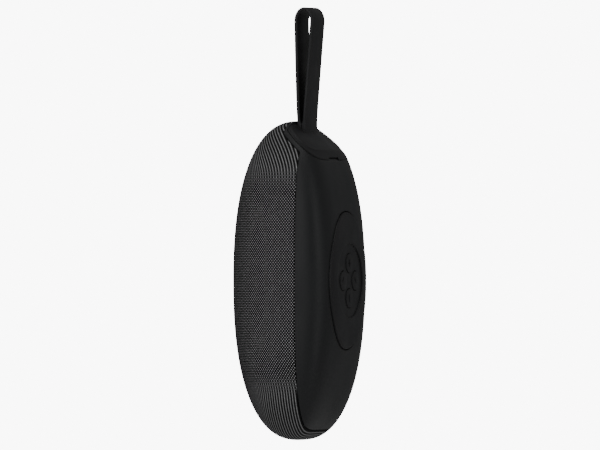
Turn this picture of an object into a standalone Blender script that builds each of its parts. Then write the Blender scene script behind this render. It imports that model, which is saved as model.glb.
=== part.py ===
"""Hanging shower speaker: a sealed pebble-shaped case with a fabric front, a rear shell with a
four-key silicone pad, and a silicone cap that carries the hanging strap and covers the charging port.

Metres, +Z up. +Y is the keypad side, -Y the fabric side. The origin is the point inside the top of
the strap's loop where a hook carries the speaker. Everything is first modelled about the middle of
the case and then hung below the origin by one parent empty.
"""
import math

import bmesh
import bpy
from mathutils import Matrix, Vector

MM = 0.001

# ---- case: overall sizes and section shape ----
CASE_HEIGHT = 150 * MM
CASE_WIDTH = 69 * MM
FRONT_DEPTH = 31 * MM            # widest section to the front of the fabric dome
BACK_DEPTH = 24.8 * MM           # widest section to the back of the rear shell
WIDTH_EXPONENT = 3.2             # outline seen from the back: between an oval and a rectangle
FRONT_PROFILE_EXPONENT = 2.3     # side profile, front half
BACK_PROFILE_EXPONENT = 2.15     # side profile, back half
FRONT_SECTION_EXPONENT = 2.0     # level section, front half: a plain ellipse
BACK_SECTION_EXPONENT = 4.8      # level section, back half: flat back with rounded corners
CASE_COLUMNS = 32
CASE_ROWS = 22
SEAM_Y = 9.7 * MM                # plane where fabric front and rear shell meet
GAP = 0.3 * MM                   # clearance between neighbouring pieces

# ---- walls, from the outside in ----
FABRIC_THICKNESS = 0.8 * MM
BASKET_WALL = 2.0 * MM
SHELL_WALL = 2.6 * MM
GASKET_WIDTH = 1.6 * MM
GASKET_LENGTH = 5.0 * MM

# ---- cap on the rear-top shoulder, in its own tilted plane ----
CAP_TILT = math.radians(40.8)    # cap normal, leaned back from vertical
CAP_SEAT_DEPTH = 2.8 * MM        # top of the case down to the seat plane, square to it
CAP_THICKNESS = 2.4 * MM
CAP_FRONT_Y = 0.6 * MM           # the cap's front edge, square to the case
COLLAR_FRONT_Y = -1.2 * MM       # front edge of the collar where it crosses the top
COLLAR_WIDTH = 2.0 * MM          # rim of rear shell that shows between cap and fabric
SEAT_FLOOR = 2.8 * MM            # shell material under the cap
FLAP_HINGE_OFFSET = 4.0 * MM     # strap root to the flap's living hinge, down the slope
FLAP_LENGTH = 18.0 * MM
NAIL_SLOT_WIDTH = 13.0 * MM
NAIL_SLOT_HEIGHT = 1.1 * MM
NAIL_SLOT_DEPTH = 1.6 * MM

# ---- charging port under the flap ----
BAY_WIDTH = 23.4 * MM
BAY_LENGTH = 8.2 * MM
BAY_DEPTH = 5.0 * MM
BAY_WALL = 1.6 * MM
BAY_HINGE_DISTANCE = 3.5 * MM    # hinge line to the bay's near wall
PLUG_RIB_DEPTH = 3.5 * MM
PLUG_RIB_TAPER = 1.5 * MM        # the rib's far side leans in, so it swings clear of the bay
USB_WIDTH = 9.0 * MM
USB_HEIGHT = 3.2 * MM
USB_LENGTH = 7.4 * MM
USB_MOUTH_WALL = 0.4 * MM
PORT_BOARD_WIDTH = 20.0 * MM
PORT_BOARD_LENGTH = 12.0 * MM
BOARD_THICKNESS = 1.2 * MM
MICROPHONE_SIZE = 3.0 * MM
MICROPHONE_HEIGHT = 1.2 * MM
MICROPHONE_X = 6.0 * MM

# ---- hanging strap ----
STRAP_WIDTH = 14.5 * MM
STRAP_THICKNESS = 1.3 * MM
STRAP_ROOT_Y = 3.2 * MM
STRAP_ROOT_RISE = 1.0 * MM       # height of the flexing root above the top of the case
STRAP_ROOT_DEPTH = 4.2 * MM      # both strands together at the root
STRAP_TOP_Y = 4.4 * MM
STRAP_TOP_DEPTH = 9.5 * MM       # outside of the loop at its top
STRAP_RISE = 53.4 * MM           # top of the loop above the top of the case
STRAP_SLIT_START = 3.0 * MM      # where the strands part, above the root
STRAP_ARC_FACETS = 9
STRAP_SIDE_POINTS = 5
ANCHOR_TAB_SHOULDER = 0.25 * MM  # the tab is this much narrower than the strap, each side
ANCHOR_TAB_THICKNESS = 3.0 * MM
ANCHOR_TAB_LENGTH = 8.0 * MM
ANCHOR_TAB_OFFSET = 1.0 * MM     # strap root to the tab, down the slope
ANCHOR_PIN_RADIUS = 1.0 * MM
ANCHOR_PIN_OVERHANG = 2.5 * MM   # the pin reaches this far past the tab, each side
ANCHOR_PIN_DROP = 5.4 * MM       # seat plane to the pin's axis

# ---- keypad ----
PAD_HEIGHT = 65.0 * MM
PAD_WIDTH = 50.4 * MM
PAD_PROUD = 0.6 * MM
PAD_THICKNESS = 1.5 * MM
KEY_RECESS_RADIUS = 17.35 * MM
KEY_RECESS_DROP = 0.35 * MM      # floor of the round recess below the back of the case
KEY_RADIUS = 4.5 * MM
KEY_LAND = 2.7 * MM              # pad left between neighbouring keys
KEY_RISE = 0.4 * MM              # key tops above the recess floor
KEY_CAP_THICKNESS = 1.2 * MM
KEY_STEM_RADIUS = 1.8 * MM
KEY_STEM_LENGTH = 1.6 * MM
KEY_TRAVEL = 0.6 * MM            # how far a key and its plunger go in
SWITCH_SIZE = 5.0 * MM
SWITCH_HEIGHT = 1.7 * MM
PLUNGER_RADIUS = 1.2 * MM
PLUNGER_LENGTH = 2.1 * MM
PLUNGER_SUNK = 0.8 * MM
KEY_BOARD_RADIUS = 16.0 * MM

# ---- case screws, under the pad ----
SCREW_X = 21.5 * MM
SCREW_Z = 8.0 * MM
SCREW_HEAD_RADIUS = 2.4 * MM
SCREW_HEAD_HEIGHT = 1.4 * MM
SCREW_SHAFT_RADIUS = 1.2 * MM
SCREW_LENGTH = 16.0 * MM
SCREW_SOCKET_RADIUS = 1.0 * MM
SCREW_SOCKET_DEPTH = 0.8 * MM
BOSS_RADIUS = 4.0 * MM
POST_RADIUS = 3.0 * MM
POST_TOP_Y = 11.5 * MM

# ---- baffle, driver and passive radiator ----
BAFFLE_Y = -3.0 * MM
BAFFLE_THICKNESS = 2.0 * MM
DRIVER_Z = 28.0 * MM
DRIVER_RADIUS = 22.0 * MM
DRIVER_FLANGE = 1.2 * MM
DRIVER_THROAT_RADIUS = 18.6 * MM
DRIVER_DEPTH = 12.0 * MM
MAGNET_RADIUS = 12.0 * MM
MAGNET_HEIGHT = 5.6 * MM
MAGNET_BORE_RADIUS = 7.2 * MM
YOKE_THICKNESS = 2.0 * MM
POLE_RADIUS = 5.0 * MM
COIL_RADIUS = 6.3 * MM
COIL_WALL = 0.6 * MM
COIL_LENGTH = 7.0 * MM
CONE_RADIUS = 14.8 * MM
CONE_DEPTH = 7.0 * MM
CONE_WALL = 0.7 * MM
SURROUND_RADIUS = 18.4 * MM
SURROUND_HEIGHT = 1.8 * MM
SURROUND_WALL = 0.6 * MM
RADIATOR_Z = -31.0 * MM
RADIATOR_RADIUS = 21.0 * MM
RADIATOR_THROAT_RADIUS = 18.0 * MM
RADIATOR_FRAME_THICKNESS = 2.6 * MM
RADIATOR_PLATE_RADIUS = 13.6 * MM
RADIATOR_PLATE_THICKNESS = 1.6 * MM
RADIATOR_WEIGHT_RADIUS = 6.0 * MM
RADIATOR_WEIGHT_THICKNESS = 1.6 * MM
FRAME_SCREW_HEAD_RADIUS = 1.3 * MM
FRAME_SCREW_HEAD_HEIGHT = 0.9 * MM
FRAME_SCREW_SHAFT_RADIUS = 0.7 * MM
FRAME_SCREW_LENGTH = 4.2 * MM
FRAME_SCREW_COUNT = 4

# ---- grille slots in the basket ----
SLOT_COUNT = 5
SLOT_WIDTH = 3.6 * MM
SLOT_PITCH = 7.2 * MM
SLOT_RADIUS = 19.0 * MM

# ---- battery and main board ----
BATTERY_WIDTH = 30.0 * MM
BATTERY_HEIGHT = 44.0 * MM
BATTERY_THICKNESS = 5.6 * MM
BATTERY_Z = -32.0 * MM
BATTERY_Y = 9.4 * MM
BATTERY_ROUND = 1.2 * MM
TRAY_WALL = 1.2 * MM
TRAY_LIP = 2.4 * MM
BOARD_WIDTH = 32.0 * MM
BOARD_HEIGHT = 27.0 * MM
BOARD_Z = -32.0 * MM
BOARD_Y = 14.6 * MM

# ---- places worked out from the sizes above ----
CASE_TOP = CASE_HEIGHT / 2
CAP_SEAT = CASE_TOP * math.cos(CAP_TILT) - CAP_SEAT_DEPTH
CAP_TOP = CAP_SEAT + CAP_THICKNESS
STRAP_ROOT_Z = CASE_TOP + STRAP_ROOT_RISE
STRAP_TOP_Z = CASE_TOP + STRAP_RISE
STRAP_FOOT_Z = (CAP_TOP - STRAP_ROOT_Y * math.sin(CAP_TILT)) / math.cos(CAP_TILT)
STRAP_FOOT_V = STRAP_ROOT_Y * math.cos(CAP_TILT) - STRAP_FOOT_Z * math.sin(CAP_TILT)
FLAP_HINGE_V = STRAP_FOOT_V + FLAP_HINGE_OFFSET
ANCHOR_TAB_V = STRAP_FOOT_V + ANCHOR_TAB_OFFSET
ANCHOR_TAB_WIDTH = STRAP_WIDTH - 2 * ANCHOR_TAB_SHOULDER
ANCHOR_PIN_LENGTH = ANCHOR_TAB_WIDTH + 2 * ANCHOR_PIN_OVERHANG
KEY_PITCH_RADIUS = (2 * KEY_RADIUS + KEY_LAND) / math.sqrt(2)
HANG_Y = STRAP_TOP_Y
HANG_Z = STRAP_TOP_Z - STRAP_THICKNESS
RECESS_FLOOR_Y = BACK_DEPTH - KEY_RECESS_DROP
KEY_TOP_Y = RECESS_FLOOR_Y + KEY_RISE
KEY_STEM_END_Y = KEY_TOP_Y - KEY_CAP_THICKNESS - KEY_STEM_LENGTH
PLUNGER_TOP_Y = KEY_STEM_END_Y - GAP
SWITCH_TOP_Y = PLUNGER_TOP_Y - PLUNGER_LENGTH + PLUNGER_SUNK
SWITCH_BACK_Y = SWITCH_TOP_Y - SWITCH_HEIGHT
KEY_BOARD_TOP_Y = SWITCH_BACK_Y - GAP
PAD_INSET = PAD_THICKNESS - PAD_PROUD
SEAT_INSET = PAD_INSET + GAP
BAFFLE_FRONT_Y = BAFFLE_Y - BAFFLE_THICKNESS / 2
BAFFLE_BACK_Y = BAFFLE_Y + BAFFLE_THICKNESS / 2
BASKET_INSET = FABRIC_THICKNESS + GAP
INNER_INSET = BASKET_INSET + BASKET_WALL + GAP
BAY_MIDDLE_V = FLAP_HINGE_V + BAY_HINGE_DISTANCE + BAY_LENGTH / 2
BAY_FLOOR_OUT = CAP_SEAT - BAY_DEPTH
USB_MOUTH_OUT = BAY_FLOOR_OUT + GAP
DRIVER_SCREW_RING = (DRIVER_RADIUS + DRIVER_THROAT_RADIUS) / 2
RADIATOR_SCREW_RING = (RADIATOR_RADIUS + RADIATOR_THROAT_RADIUS) / 2

COLOURS = {
    "shell_black": ((0.016, 0.016, 0.018), 0.48, 0.0),
    "fabric_black": ((0.035, 0.035, 0.037), 0.95, 0.0),
    "silicone_black": ((0.014, 0.014, 0.016), 0.60, 0.0),
    "frame_black": ((0.020, 0.020, 0.022), 0.55, 0.0),
    "rubber_black": ((0.012, 0.012, 0.012), 0.70, 0.0),
    "paper_cone": ((0.045, 0.045, 0.048), 0.85, 0.0),
    "steel": ((0.55, 0.55, 0.56), 0.32, 1.0),
    "magnet_grey": ((0.12, 0.12, 0.13), 0.50, 0.8),
    "copper": ((0.72, 0.38, 0.20), 0.30, 1.0),
    "board_green": ((0.02, 0.16, 0.07), 0.45, 0.0),
    "battery_wrap": ((0.30, 0.42, 0.55), 0.38, 0.0),
}


def clear_scene():
    for item in list(bpy.data.objects):
        bpy.data.objects.remove(item, do_unlink=True)


def make_material(name):
    colour, roughness, metallic = COLOURS[name]
    material = bpy.data.materials.get(name) or bpy.data.materials.new(name)
    material.use_nodes = True
    shader = material.node_tree.nodes["Principled BSDF"]
    shader.inputs["Base Color"].default_value = (*colour, 1.0)
    shader.inputs["Roughness"].default_value = roughness
    shader.inputs["Metallic"].default_value = metallic
    return material


def add_object(name, shape, material=None, location=(0, 0, 0)):
    """Turns a bmesh into an object. With no material it is a tool that only cuts or joins."""
    bmesh.ops.recalc_face_normals(shape, faces=shape.faces)
    mesh = bpy.data.meshes.new(name)
    shape.to_mesh(mesh)
    shape.free()
    item = bpy.data.objects.new(name, mesh)
    item.location = location
    item.parent = CASE
    bpy.context.scene.collection.objects.link(item)
    if material:
        mesh.materials.append(make_material(material))
        mesh.shade_smooth()
        mesh.set_sharp_from_angle(angle=math.radians(32))
    else:
        item.hide_render = True
        item.display_type = "WIRE"
    return item


def boolean(item, tool, operation="DIFFERENCE"):
    modifier = item.modifiers.new(tool.name, "BOOLEAN")
    modifier.operation = operation
    modifier.object = tool
    modifier.solver = "EXACT"
    return item


def prism(outline, length):
    """A closed outline of (y, z) points, drawn out along X to both sides of the middle."""
    shape = bmesh.new()
    face = shape.faces.new([shape.verts.new((-length / 2, y, z)) for y, z in outline])
    drawn = bmesh.ops.extrude_face_region(shape, geom=[face])
    new_verts = [element for element in drawn["geom"] if isinstance(element, bmesh.types.BMVert)]
    bmesh.ops.translate(shape, vec=(length, 0, 0), verts=new_verts)
    return shape


def box(size, centre=(0, 0, 0), tilt=0.0):
    """A block whose own Y and Z are leaned back by tilt about X."""
    shape = bmesh.new()
    bmesh.ops.create_cube(shape, size=1.0)
    bmesh.ops.scale(shape, vec=size, verts=shape.verts)
    turn = Matrix.Rotation(-tilt, 4, "X")
    bmesh.ops.transform(shape, matrix=Matrix.Translation(centre) @ turn, verts=shape.verts)
    return shape


def rod(radius, length, centre=(0, 0, 0), axis="Y", sides=24):
    shape = bmesh.new()
    bmesh.ops.create_cone(shape, cap_ends=True, segments=sides, radius1=radius, radius2=radius,
                          depth=length)
    turn = {"X": Matrix.Rotation(math.pi / 2, 4, "Y"), "Y": Matrix.Rotation(math.pi / 2, 4, "X")}
    bmesh.ops.transform(shape, matrix=Matrix.Translation(centre) @ turn[axis], verts=shape.verts)
    return shape


def turned(profile, centre=(0, 0, 0), sides=24):
    """A closed (radius, y) profile spun once about an axis along Y through centre."""
    shape = bmesh.new()
    verts = [shape.verts.new((radius, y, 0)) for radius, y in profile]
    edges = [shape.edges.new((a, b)) for a, b in zip(verts, verts[1:] + verts[:1])]
    bmesh.ops.spin(shape, geom=verts + edges, cent=(0, 0, 0), axis=(0, 1, 0),
                   angle=2 * math.pi, steps=sides, use_merge=True)
    bmesh.ops.remove_doubles(shape, verts=shape.verts, dist=0.001 * MM)
    bmesh.ops.dissolve_degenerate(shape, edges=shape.edges, dist=0.001 * MM)
    bmesh.ops.translate(shape, vec=centre, verts=shape.verts)
    return shape


def superellipse(share, exponent):
    """Height of a unit superellipse at a share of its half-length."""
    return max(0.0, 1.0 - abs(share) ** exponent) ** (1.0 / exponent)


def case_solid(inset):
    """The case's outer form, drawn in by inset: level sections stacked from pole to pole."""
    half_height = CASE_HEIGHT / 2 - inset
    half_width = CASE_WIDTH / 2 - inset
    front = FRONT_DEPTH - inset
    back = BACK_DEPTH - inset
    shape = bmesh.new()
    rings = []
    for row in range(1, CASE_ROWS):
        level = math.cos(math.pi * row / CASE_ROWS)
        wide = half_width * superellipse(level, WIDTH_EXPONENT)
        ring = []
        for column in range(CASE_COLUMNS):
            angle = 2 * math.pi * column / CASE_COLUMNS
            is_back = math.sin(angle) > 0
            exponent = BACK_SECTION_EXPONENT if is_back else FRONT_SECTION_EXPONENT
            profile = BACK_PROFILE_EXPONENT if is_back else FRONT_PROFILE_EXPONENT
            deep = (back if is_back else front) * superellipse(level, profile)
            x = math.copysign(abs(math.cos(angle)) ** (2 / exponent), math.cos(angle)) * wide
            y = math.copysign(abs(math.sin(angle)) ** (2 / exponent), math.sin(angle)) * deep
            ring.append(shape.verts.new((x, y, level * half_height)))
        rings.append(ring)
    for upper, lower in zip(rings, rings[1:]):
        for column in range(CASE_COLUMNS):
            after = (column + 1) % CASE_COLUMNS
            shape.faces.new((upper[column], lower[column], lower[after], upper[after]))
    for ring, height in ((rings[0], half_height), (rings[-1], -half_height)):
        pole = shape.verts.new((0, 0, height))
        for column in range(CASE_COLUMNS):
            shape.faces.new((ring[column], ring[(column + 1) % CASE_COLUMNS], pole))
    return shape


def cap_point(across, down, out):
    """A place in the cap's own directions: across, down its slope, and out from the middle."""
    lean_y = math.sin(CAP_TILT)
    lean_z = math.cos(CAP_TILT)
    return Vector((across, down * lean_z + out * lean_y, out * lean_z - down * lean_y))


def cap_box(width, length, height, down, out):
    """A block lying in the cap's plane; down and out give its middle."""
    return box((width, length, height), cap_point(0, down, out), CAP_TILT)


def seam_outline(shift):
    """Side view of everything behind the seam, and of the collar where it steps forward above it."""
    far = CASE_HEIGHT
    seam = SEAM_Y + shift
    front = COLLAR_FRONT_Y + shift
    collar = CAP_SEAT - COLLAR_WIDTH + shift
    meet = (collar - seam * math.sin(CAP_TILT)) / math.cos(CAP_TILT)
    corner = (collar - front * math.sin(CAP_TILT)) / math.cos(CAP_TILT)
    return [(seam, -far), (far, -far), (far, far), (front, far), (front, corner), (seam, meet)]


def front_outline(shift):
    """Side view of everything in front of the seam, and of the collar's front edge above it."""
    far = CASE_HEIGHT
    seam, _, _, top, corner, meet = seam_outline(shift)
    return [(-far, -far), seam, meet, corner, top, (-far, far)]


def oval(width, height, sides=48):
    shape = bmesh.new()
    bmesh.ops.create_cone(shape, cap_ends=True, segments=sides, radius1=0.5, radius2=0.5,
                          depth=CASE_WIDTH)
    turn = Matrix.Rotation(math.pi / 2, 4, "X")
    bmesh.ops.transform(shape, matrix=turn, verts=shape.verts)
    bmesh.ops.scale(shape, vec=(width, 1, height), verts=shape.verts)
    bmesh.ops.translate(shape, vec=(0, CASE_WIDTH / 2, 0), verts=shape.verts)
    return shape


# ---------------------------------------------------------------- places that pieces share
def key_places():
    """Name and centre of each key, clockwise from the top, seen from the back."""
    return {
        "plus": (0.0, KEY_PITCH_RADIUS),
        "call": (-KEY_PITCH_RADIUS, 0.0),
        "minus": (0.0, -KEY_PITCH_RADIUS),
        "play": (KEY_PITCH_RADIUS, 0.0),
    }


def seat_depth(x, z):
    """Distance from the widest section back to the pad seat at a place on it."""
    across = superellipse(x / (CASE_WIDTH / 2 - SEAT_INSET), BACK_SECTION_EXPONENT)
    along = superellipse(z / (CASE_HEIGHT / 2 - SEAT_INSET), BACK_PROFILE_EXPONENT)
    return (BACK_DEPTH - SEAT_INSET) * across * along


def screw_places():
    return [(SCREW_X, SCREW_Z), (-SCREW_X, SCREW_Z), (-SCREW_X, -SCREW_Z), (SCREW_X, -SCREW_Z)]


def frame_screw_places(middle_z, radius, start):
    for number in range(FRAME_SCREW_COUNT):
        angle = start + 2 * math.pi * number / FRAME_SCREW_COUNT
        yield radius * math.cos(angle), middle_z + radius * math.sin(angle)


SCREW_FLOOR_Y = seat_depth(SCREW_X, SCREW_Z)
SCREW_HEAD_Y = SCREW_FLOOR_Y - 2 * GAP


# ---------------------------------------------------------------- case
def make_rear_shell():
    """Back of the case with the collar, cap seat, port bay, pad seat, key holes and bosses."""
    shell = add_object("rear_shell", case_solid(0.0), "shell_black")
    hollow = add_object("tool_shell_hollow", case_solid(SHELL_WALL))
    under_seat = CAP_SEAT - SEAT_FLOOR
    block = 2 * CASE_HEIGHT
    boolean(hollow, add_object("tool_hollow_top", cap_box(block, block, block, 0,
                                                          under_seat + block / 2)))
    boolean(shell, hollow)
    boolean(shell, add_object("tool_front", prism(front_outline(GAP / 2), CASE_HEIGHT)))
    cap_space = add_object("tool_cap_space", cap_box(block, block, block, 0,
                                                     CAP_SEAT - GAP / 2 + block / 2))
    boolean(cap_space, add_object("tool_cap_front", box(
        (2 * block, block, 2 * block), (0, CAP_FRONT_Y - GAP / 2 - block / 2, 0))))
    boolean(shell, cap_space)
    walls = 2 * BAY_WALL
    bay_height = BAY_DEPTH + BAY_WALL - GAP
    boolean(shell, add_object("tool_bay_block", cap_box(
        BAY_WIDTH + walls, BAY_LENGTH + walls, bay_height, BAY_MIDDLE_V,
        BAY_FLOOR_OUT - BAY_WALL + bay_height / 2)), "UNION")
    boolean(shell, add_object("tool_bay", cap_box(
        BAY_WIDTH, BAY_LENGTH, 2 * BAY_DEPTH, BAY_MIDDLE_V, CAP_SEAT)))
    boolean(shell, add_object("tool_usb_slot", cap_box(
        USB_WIDTH + 2 * GAP, USB_HEIGHT + 2 * GAP, 4 * BAY_WALL, BAY_MIDDLE_V, BAY_FLOOR_OUT)))
    boolean(shell, add_object("tool_anchor_slot", cap_box(
        ANCHOR_TAB_WIDTH + 2 * GAP, ANCHOR_TAB_THICKNESS + 2 * GAP, 4 * SEAT_FLOOR,
        ANCHOR_TAB_V, CAP_SEAT)))
    for number, (x, z) in enumerate(screw_places(), 1):
        boss_length = SCREW_FLOOR_Y - 3 * GAP - POST_TOP_Y - GAP
        boss_middle = POST_TOP_Y + GAP + boss_length / 2
        boolean(shell, add_object(f"tool_boss_{number}",
                                  rod(BOSS_RADIUS, boss_length, (x, boss_middle, z))), "UNION")
    seat = add_object("tool_pad_seat", oval(PAD_WIDTH + 2 * GAP, PAD_HEIGHT + 2 * GAP))
    boolean(seat, add_object("tool_pad_floor", case_solid(SEAT_INSET)))
    boolean(shell, seat)
    for number, (x, z) in enumerate(screw_places(), 1):
        head_floor = SCREW_HEAD_Y - SCREW_HEAD_HEIGHT - GAP
        boolean(shell, add_object(f"tool_head_{number}", rod(
            SCREW_HEAD_RADIUS + GAP, BACK_DEPTH, (x, head_floor + BACK_DEPTH / 2, z))))
        boolean(shell, add_object(f"tool_shaft_{number}", rod(
            SCREW_SHAFT_RADIUS + GAP, CASE_WIDTH, (x, BACK_DEPTH, z), sides=16)))
    for name, (x, z) in key_places().items():
        boolean(shell, add_object(f"tool_key_hole_{name}", rod(
            KEY_RADIUS + 2 * GAP, BACK_DEPTH, (x, BACK_DEPTH, z))))
    return shell


def make_fabric_cover():
    """Woven cover stretched over the front, its edge tucked into the seam."""
    cover = add_object("fabric_cover", case_solid(0.0), "fabric_black")
    boolean(cover, add_object("tool_fabric_inside", case_solid(FABRIC_THICKNESS)))
    boolean(cover, add_object("tool_behind_fabric", prism(seam_outline(-GAP / 2), CASE_HEIGHT)))
    return cover


def make_front_basket():
    """Slotted moulded dome that holds the fabric out and lets the sound through."""
    basket = add_object("front_basket", case_solid(BASKET_INSET), "frame_black")
    boolean(basket, add_object("tool_basket_inside", case_solid(BASKET_INSET + BASKET_WALL)))
    boolean(basket, add_object("tool_behind_basket", prism(seam_outline(-GAP / 2), CASE_HEIGHT)))
    for group, middle in (("driver", DRIVER_Z), ("radiator", RADIATOR_Z)):
        for number in range(SLOT_COUNT):
            x = (number - (SLOT_COUNT - 1) / 2) * SLOT_PITCH
            length = 2 * math.sqrt(SLOT_RADIUS ** 2 - x ** 2)
            boolean(basket, add_object(f"tool_slot_{group}_{number}", box(
                (SLOT_WIDTH, FRONT_DEPTH, length), (x, BAFFLE_FRONT_Y - FRONT_DEPTH / 2, middle))))
    return basket


def make_seam_gasket():
    """Soft band inside the seam that keeps water out; it stops under the cap seat."""
    gasket = add_object("seam_gasket", case_solid(INNER_INSET), "silicone_black")
    boolean(gasket, add_object("tool_gasket_inside", case_solid(INNER_INSET + GASKET_WIDTH)))
    block = 2 * CASE_HEIGHT
    low = SEAM_Y - GASKET_LENGTH / 2
    high = SEAM_Y + GASKET_LENGTH / 2
    boolean(gasket, add_object("tool_gasket_front", box((block, block, block),
                                                        (0, low - block / 2, 0))))
    boolean(gasket, add_object("tool_gasket_back", box((block, block, block),
                                                       (0, high + block / 2, 0))))
    boolean(gasket, add_object("tool_gasket_top", cap_box(
        block, block, block, 0, CAP_SEAT - SEAT_FLOOR - BAY_WALL + block / 2)))
    return gasket


def make_baffle():
    """Plate across the case that carries the driver, the radiator and the screw posts."""
    baffle = add_object("baffle", case_solid(INNER_INSET), "frame_black")
    block = 2 * CASE_HEIGHT
    boolean(baffle, add_object("tool_baffle_front", box(
        (block, block, block), (0, BAFFLE_FRONT_Y - block / 2, 0))))
    boolean(baffle, add_object("tool_baffle_back", box(
        (block, block, block), (0, BAFFLE_BACK_Y + block / 2, 0))))
    boolean(baffle, add_object("tool_baffle_top", cap_box(
        block, block, block, 0, BAY_FLOOR_OUT - 2 * BAY_WALL + block / 2)))
    for number, (x, z) in enumerate(screw_places(), 1):
        length = POST_TOP_Y - BAFFLE_Y
        boolean(baffle, add_object(f"tool_post_{number}", rod(
            POST_RADIUS, length, (x, BAFFLE_Y + length / 2, z), sides=20)), "UNION")
        boolean(baffle, add_object(f"tool_pilot_{number}", rod(
            SCREW_SHAFT_RADIUS + GAP, CASE_WIDTH, (x, BAFFLE_Y, z), sides=16)))
    for name, radius, middle in (("driver", DRIVER_THROAT_RADIUS, DRIVER_Z),
                                 ("radiator", RADIATOR_THROAT_RADIUS, RADIATOR_Z)):
        boolean(baffle, add_object(f"tool_{name}_hole", rod(
            radius + GAP, CASE_WIDTH, (0, 0, middle), sides=32)))
    for name, radius, middle, ring in (
            ("driver", FRAME_SCREW_SHAFT_RADIUS, DRIVER_Z, DRIVER_SCREW_RING),
            ("radiator", FRAME_SCREW_SHAFT_RADIUS, RADIATOR_Z, RADIATOR_SCREW_RING)):
        places = frame_screw_places(middle, ring, math.pi / 4)
        for number, (x, z) in enumerate(places, 1):
            boolean(baffle, add_object(f"tool_{name}_pilot_{number}", rod(
                radius + GAP, CASE_WIDTH, (x, BAFFLE_Y, z), sides=12)))
    return baffle


def screw_profile(head_radius, head_height, shaft_radius, length, socket_radius, socket_depth):
    """Half section of a socket-head screw: head towards +Y, its top at y = 0."""
    return [(0, -socket_depth), (socket_radius, -socket_depth), (socket_radius, 0),
            (head_radius, 0), (head_radius, -head_height), (shaft_radius, -head_height),
            (shaft_radius, -length + shaft_radius), (0, -length)]


def make_case_screws():
    profile = screw_profile(SCREW_HEAD_RADIUS, SCREW_HEAD_HEIGHT, SCREW_SHAFT_RADIUS,
                            SCREW_LENGTH, SCREW_SOCKET_RADIUS, SCREW_SOCKET_DEPTH)
    for number, (x, z) in enumerate(screw_places(), 1):
        add_object(f"case_screw_{number}", turned(profile, sides=16), "steel",
                   (x, SCREW_HEAD_Y, z))


# ---------------------------------------------------------------- driver and passive radiator
def make_driver():
    """Full-range driver, front to back: surround, cone, frame, magnet and yoke."""
    face = BAFFLE_FRONT_Y - GAP
    flange_front = face - DRIVER_FLANGE
    wall = DRIVER_FLANGE
    frame_back = flange_front + DRIVER_DEPTH
    neck = MAGNET_RADIUS
    frame_profile = [(DRIVER_RADIUS, flange_front), (DRIVER_RADIUS, face),
                     (DRIVER_THROAT_RADIUS, face), (neck, frame_back - wall),
                     (neck, frame_back), (MAGNET_BORE_RADIUS, frame_back),
                     (MAGNET_BORE_RADIUS, frame_back - wall),
                     (neck - wall, frame_back - wall - GAP),
                     (DRIVER_THROAT_RADIUS - wall, face - wall / 2),
                     (DRIVER_THROAT_RADIUS - wall, flange_front)]
    centre = (0, 0, DRIVER_Z)
    frame = add_object("driver_frame", turned(frame_profile), "frame_black", centre)
    for number, (x, z) in enumerate(frame_screw_places(0, DRIVER_SCREW_RING, math.pi / 4), 1):
        boolean(frame, add_object(f"tool_frame_hole_{number}", rod(
            FRAME_SCREW_SHAFT_RADIUS + GAP, CASE_WIDTH, (x, 0, z + DRIVER_Z), sides=12)))
    magnet_front = frame_back + GAP
    magnet_back = magnet_front + MAGNET_HEIGHT
    add_object("driver_magnet", turned([
        (MAGNET_RADIUS, magnet_front), (MAGNET_RADIUS, magnet_back),
        (MAGNET_BORE_RADIUS, magnet_back), (MAGNET_BORE_RADIUS, magnet_front)]),
        "magnet_grey", centre)
    yoke_front = magnet_back + GAP
    yoke_back = yoke_front + YOKE_THICKNESS
    add_object("driver_yoke", turned([
        (0, magnet_front - wall), (POLE_RADIUS, magnet_front - wall), (POLE_RADIUS, yoke_front),
        (MAGNET_RADIUS, yoke_front), (MAGNET_RADIUS, yoke_back), (0, yoke_back)]),
        "steel", centre)
    cone_front = flange_front - GAP
    cone_back = cone_front + CONE_DEPTH
    add_object("driver_cone", turned([
        (CONE_RADIUS, cone_front), (CONE_RADIUS, cone_front + CONE_WALL),
        (COIL_RADIUS + CONE_WALL, cone_back), (COIL_RADIUS - CONE_WALL, cone_back),
        (COIL_RADIUS - CONE_WALL, cone_back - CONE_WALL), (CONE_RADIUS - CONE_WALL, cone_front)]),
        "paper_cone", centre)
    cap_edge = cone_back - CONE_WALL - GAP
    outside = COIL_RADIUS - CONE_WALL - GAP
    inside = outside - CONE_WALL
    angles = [math.pi / 2 * step / 4 for step in range(4)]
    dome = [(outside * math.cos(angle), cap_edge - outside / 2 * math.sin(angle))
            for angle in angles]
    under = [(inside * math.cos(angle), cap_edge - inside / 2 * math.sin(angle))
             for angle in reversed(angles)]
    middle = [(0, cap_edge - outside / 2), (0, cap_edge - inside / 2)]
    add_object("dust_cap", turned(dome + middle + under), "rubber_black", centre)
    coil_front = cone_back + GAP
    add_object("voice_coil", turned([
        (COIL_RADIUS, coil_front), (COIL_RADIUS, coil_front + COIL_LENGTH),
        (COIL_RADIUS - COIL_WALL, coil_front + COIL_LENGTH),
        (COIL_RADIUS - COIL_WALL, coil_front)]), "copper", centre)
    make_surround("driver_surround", SURROUND_RADIUS, CONE_RADIUS + GAP, flange_front - GAP, centre)
    make_frame_screws("driver_screw", DRIVER_Z, DRIVER_SCREW_RING, flange_front)


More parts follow.
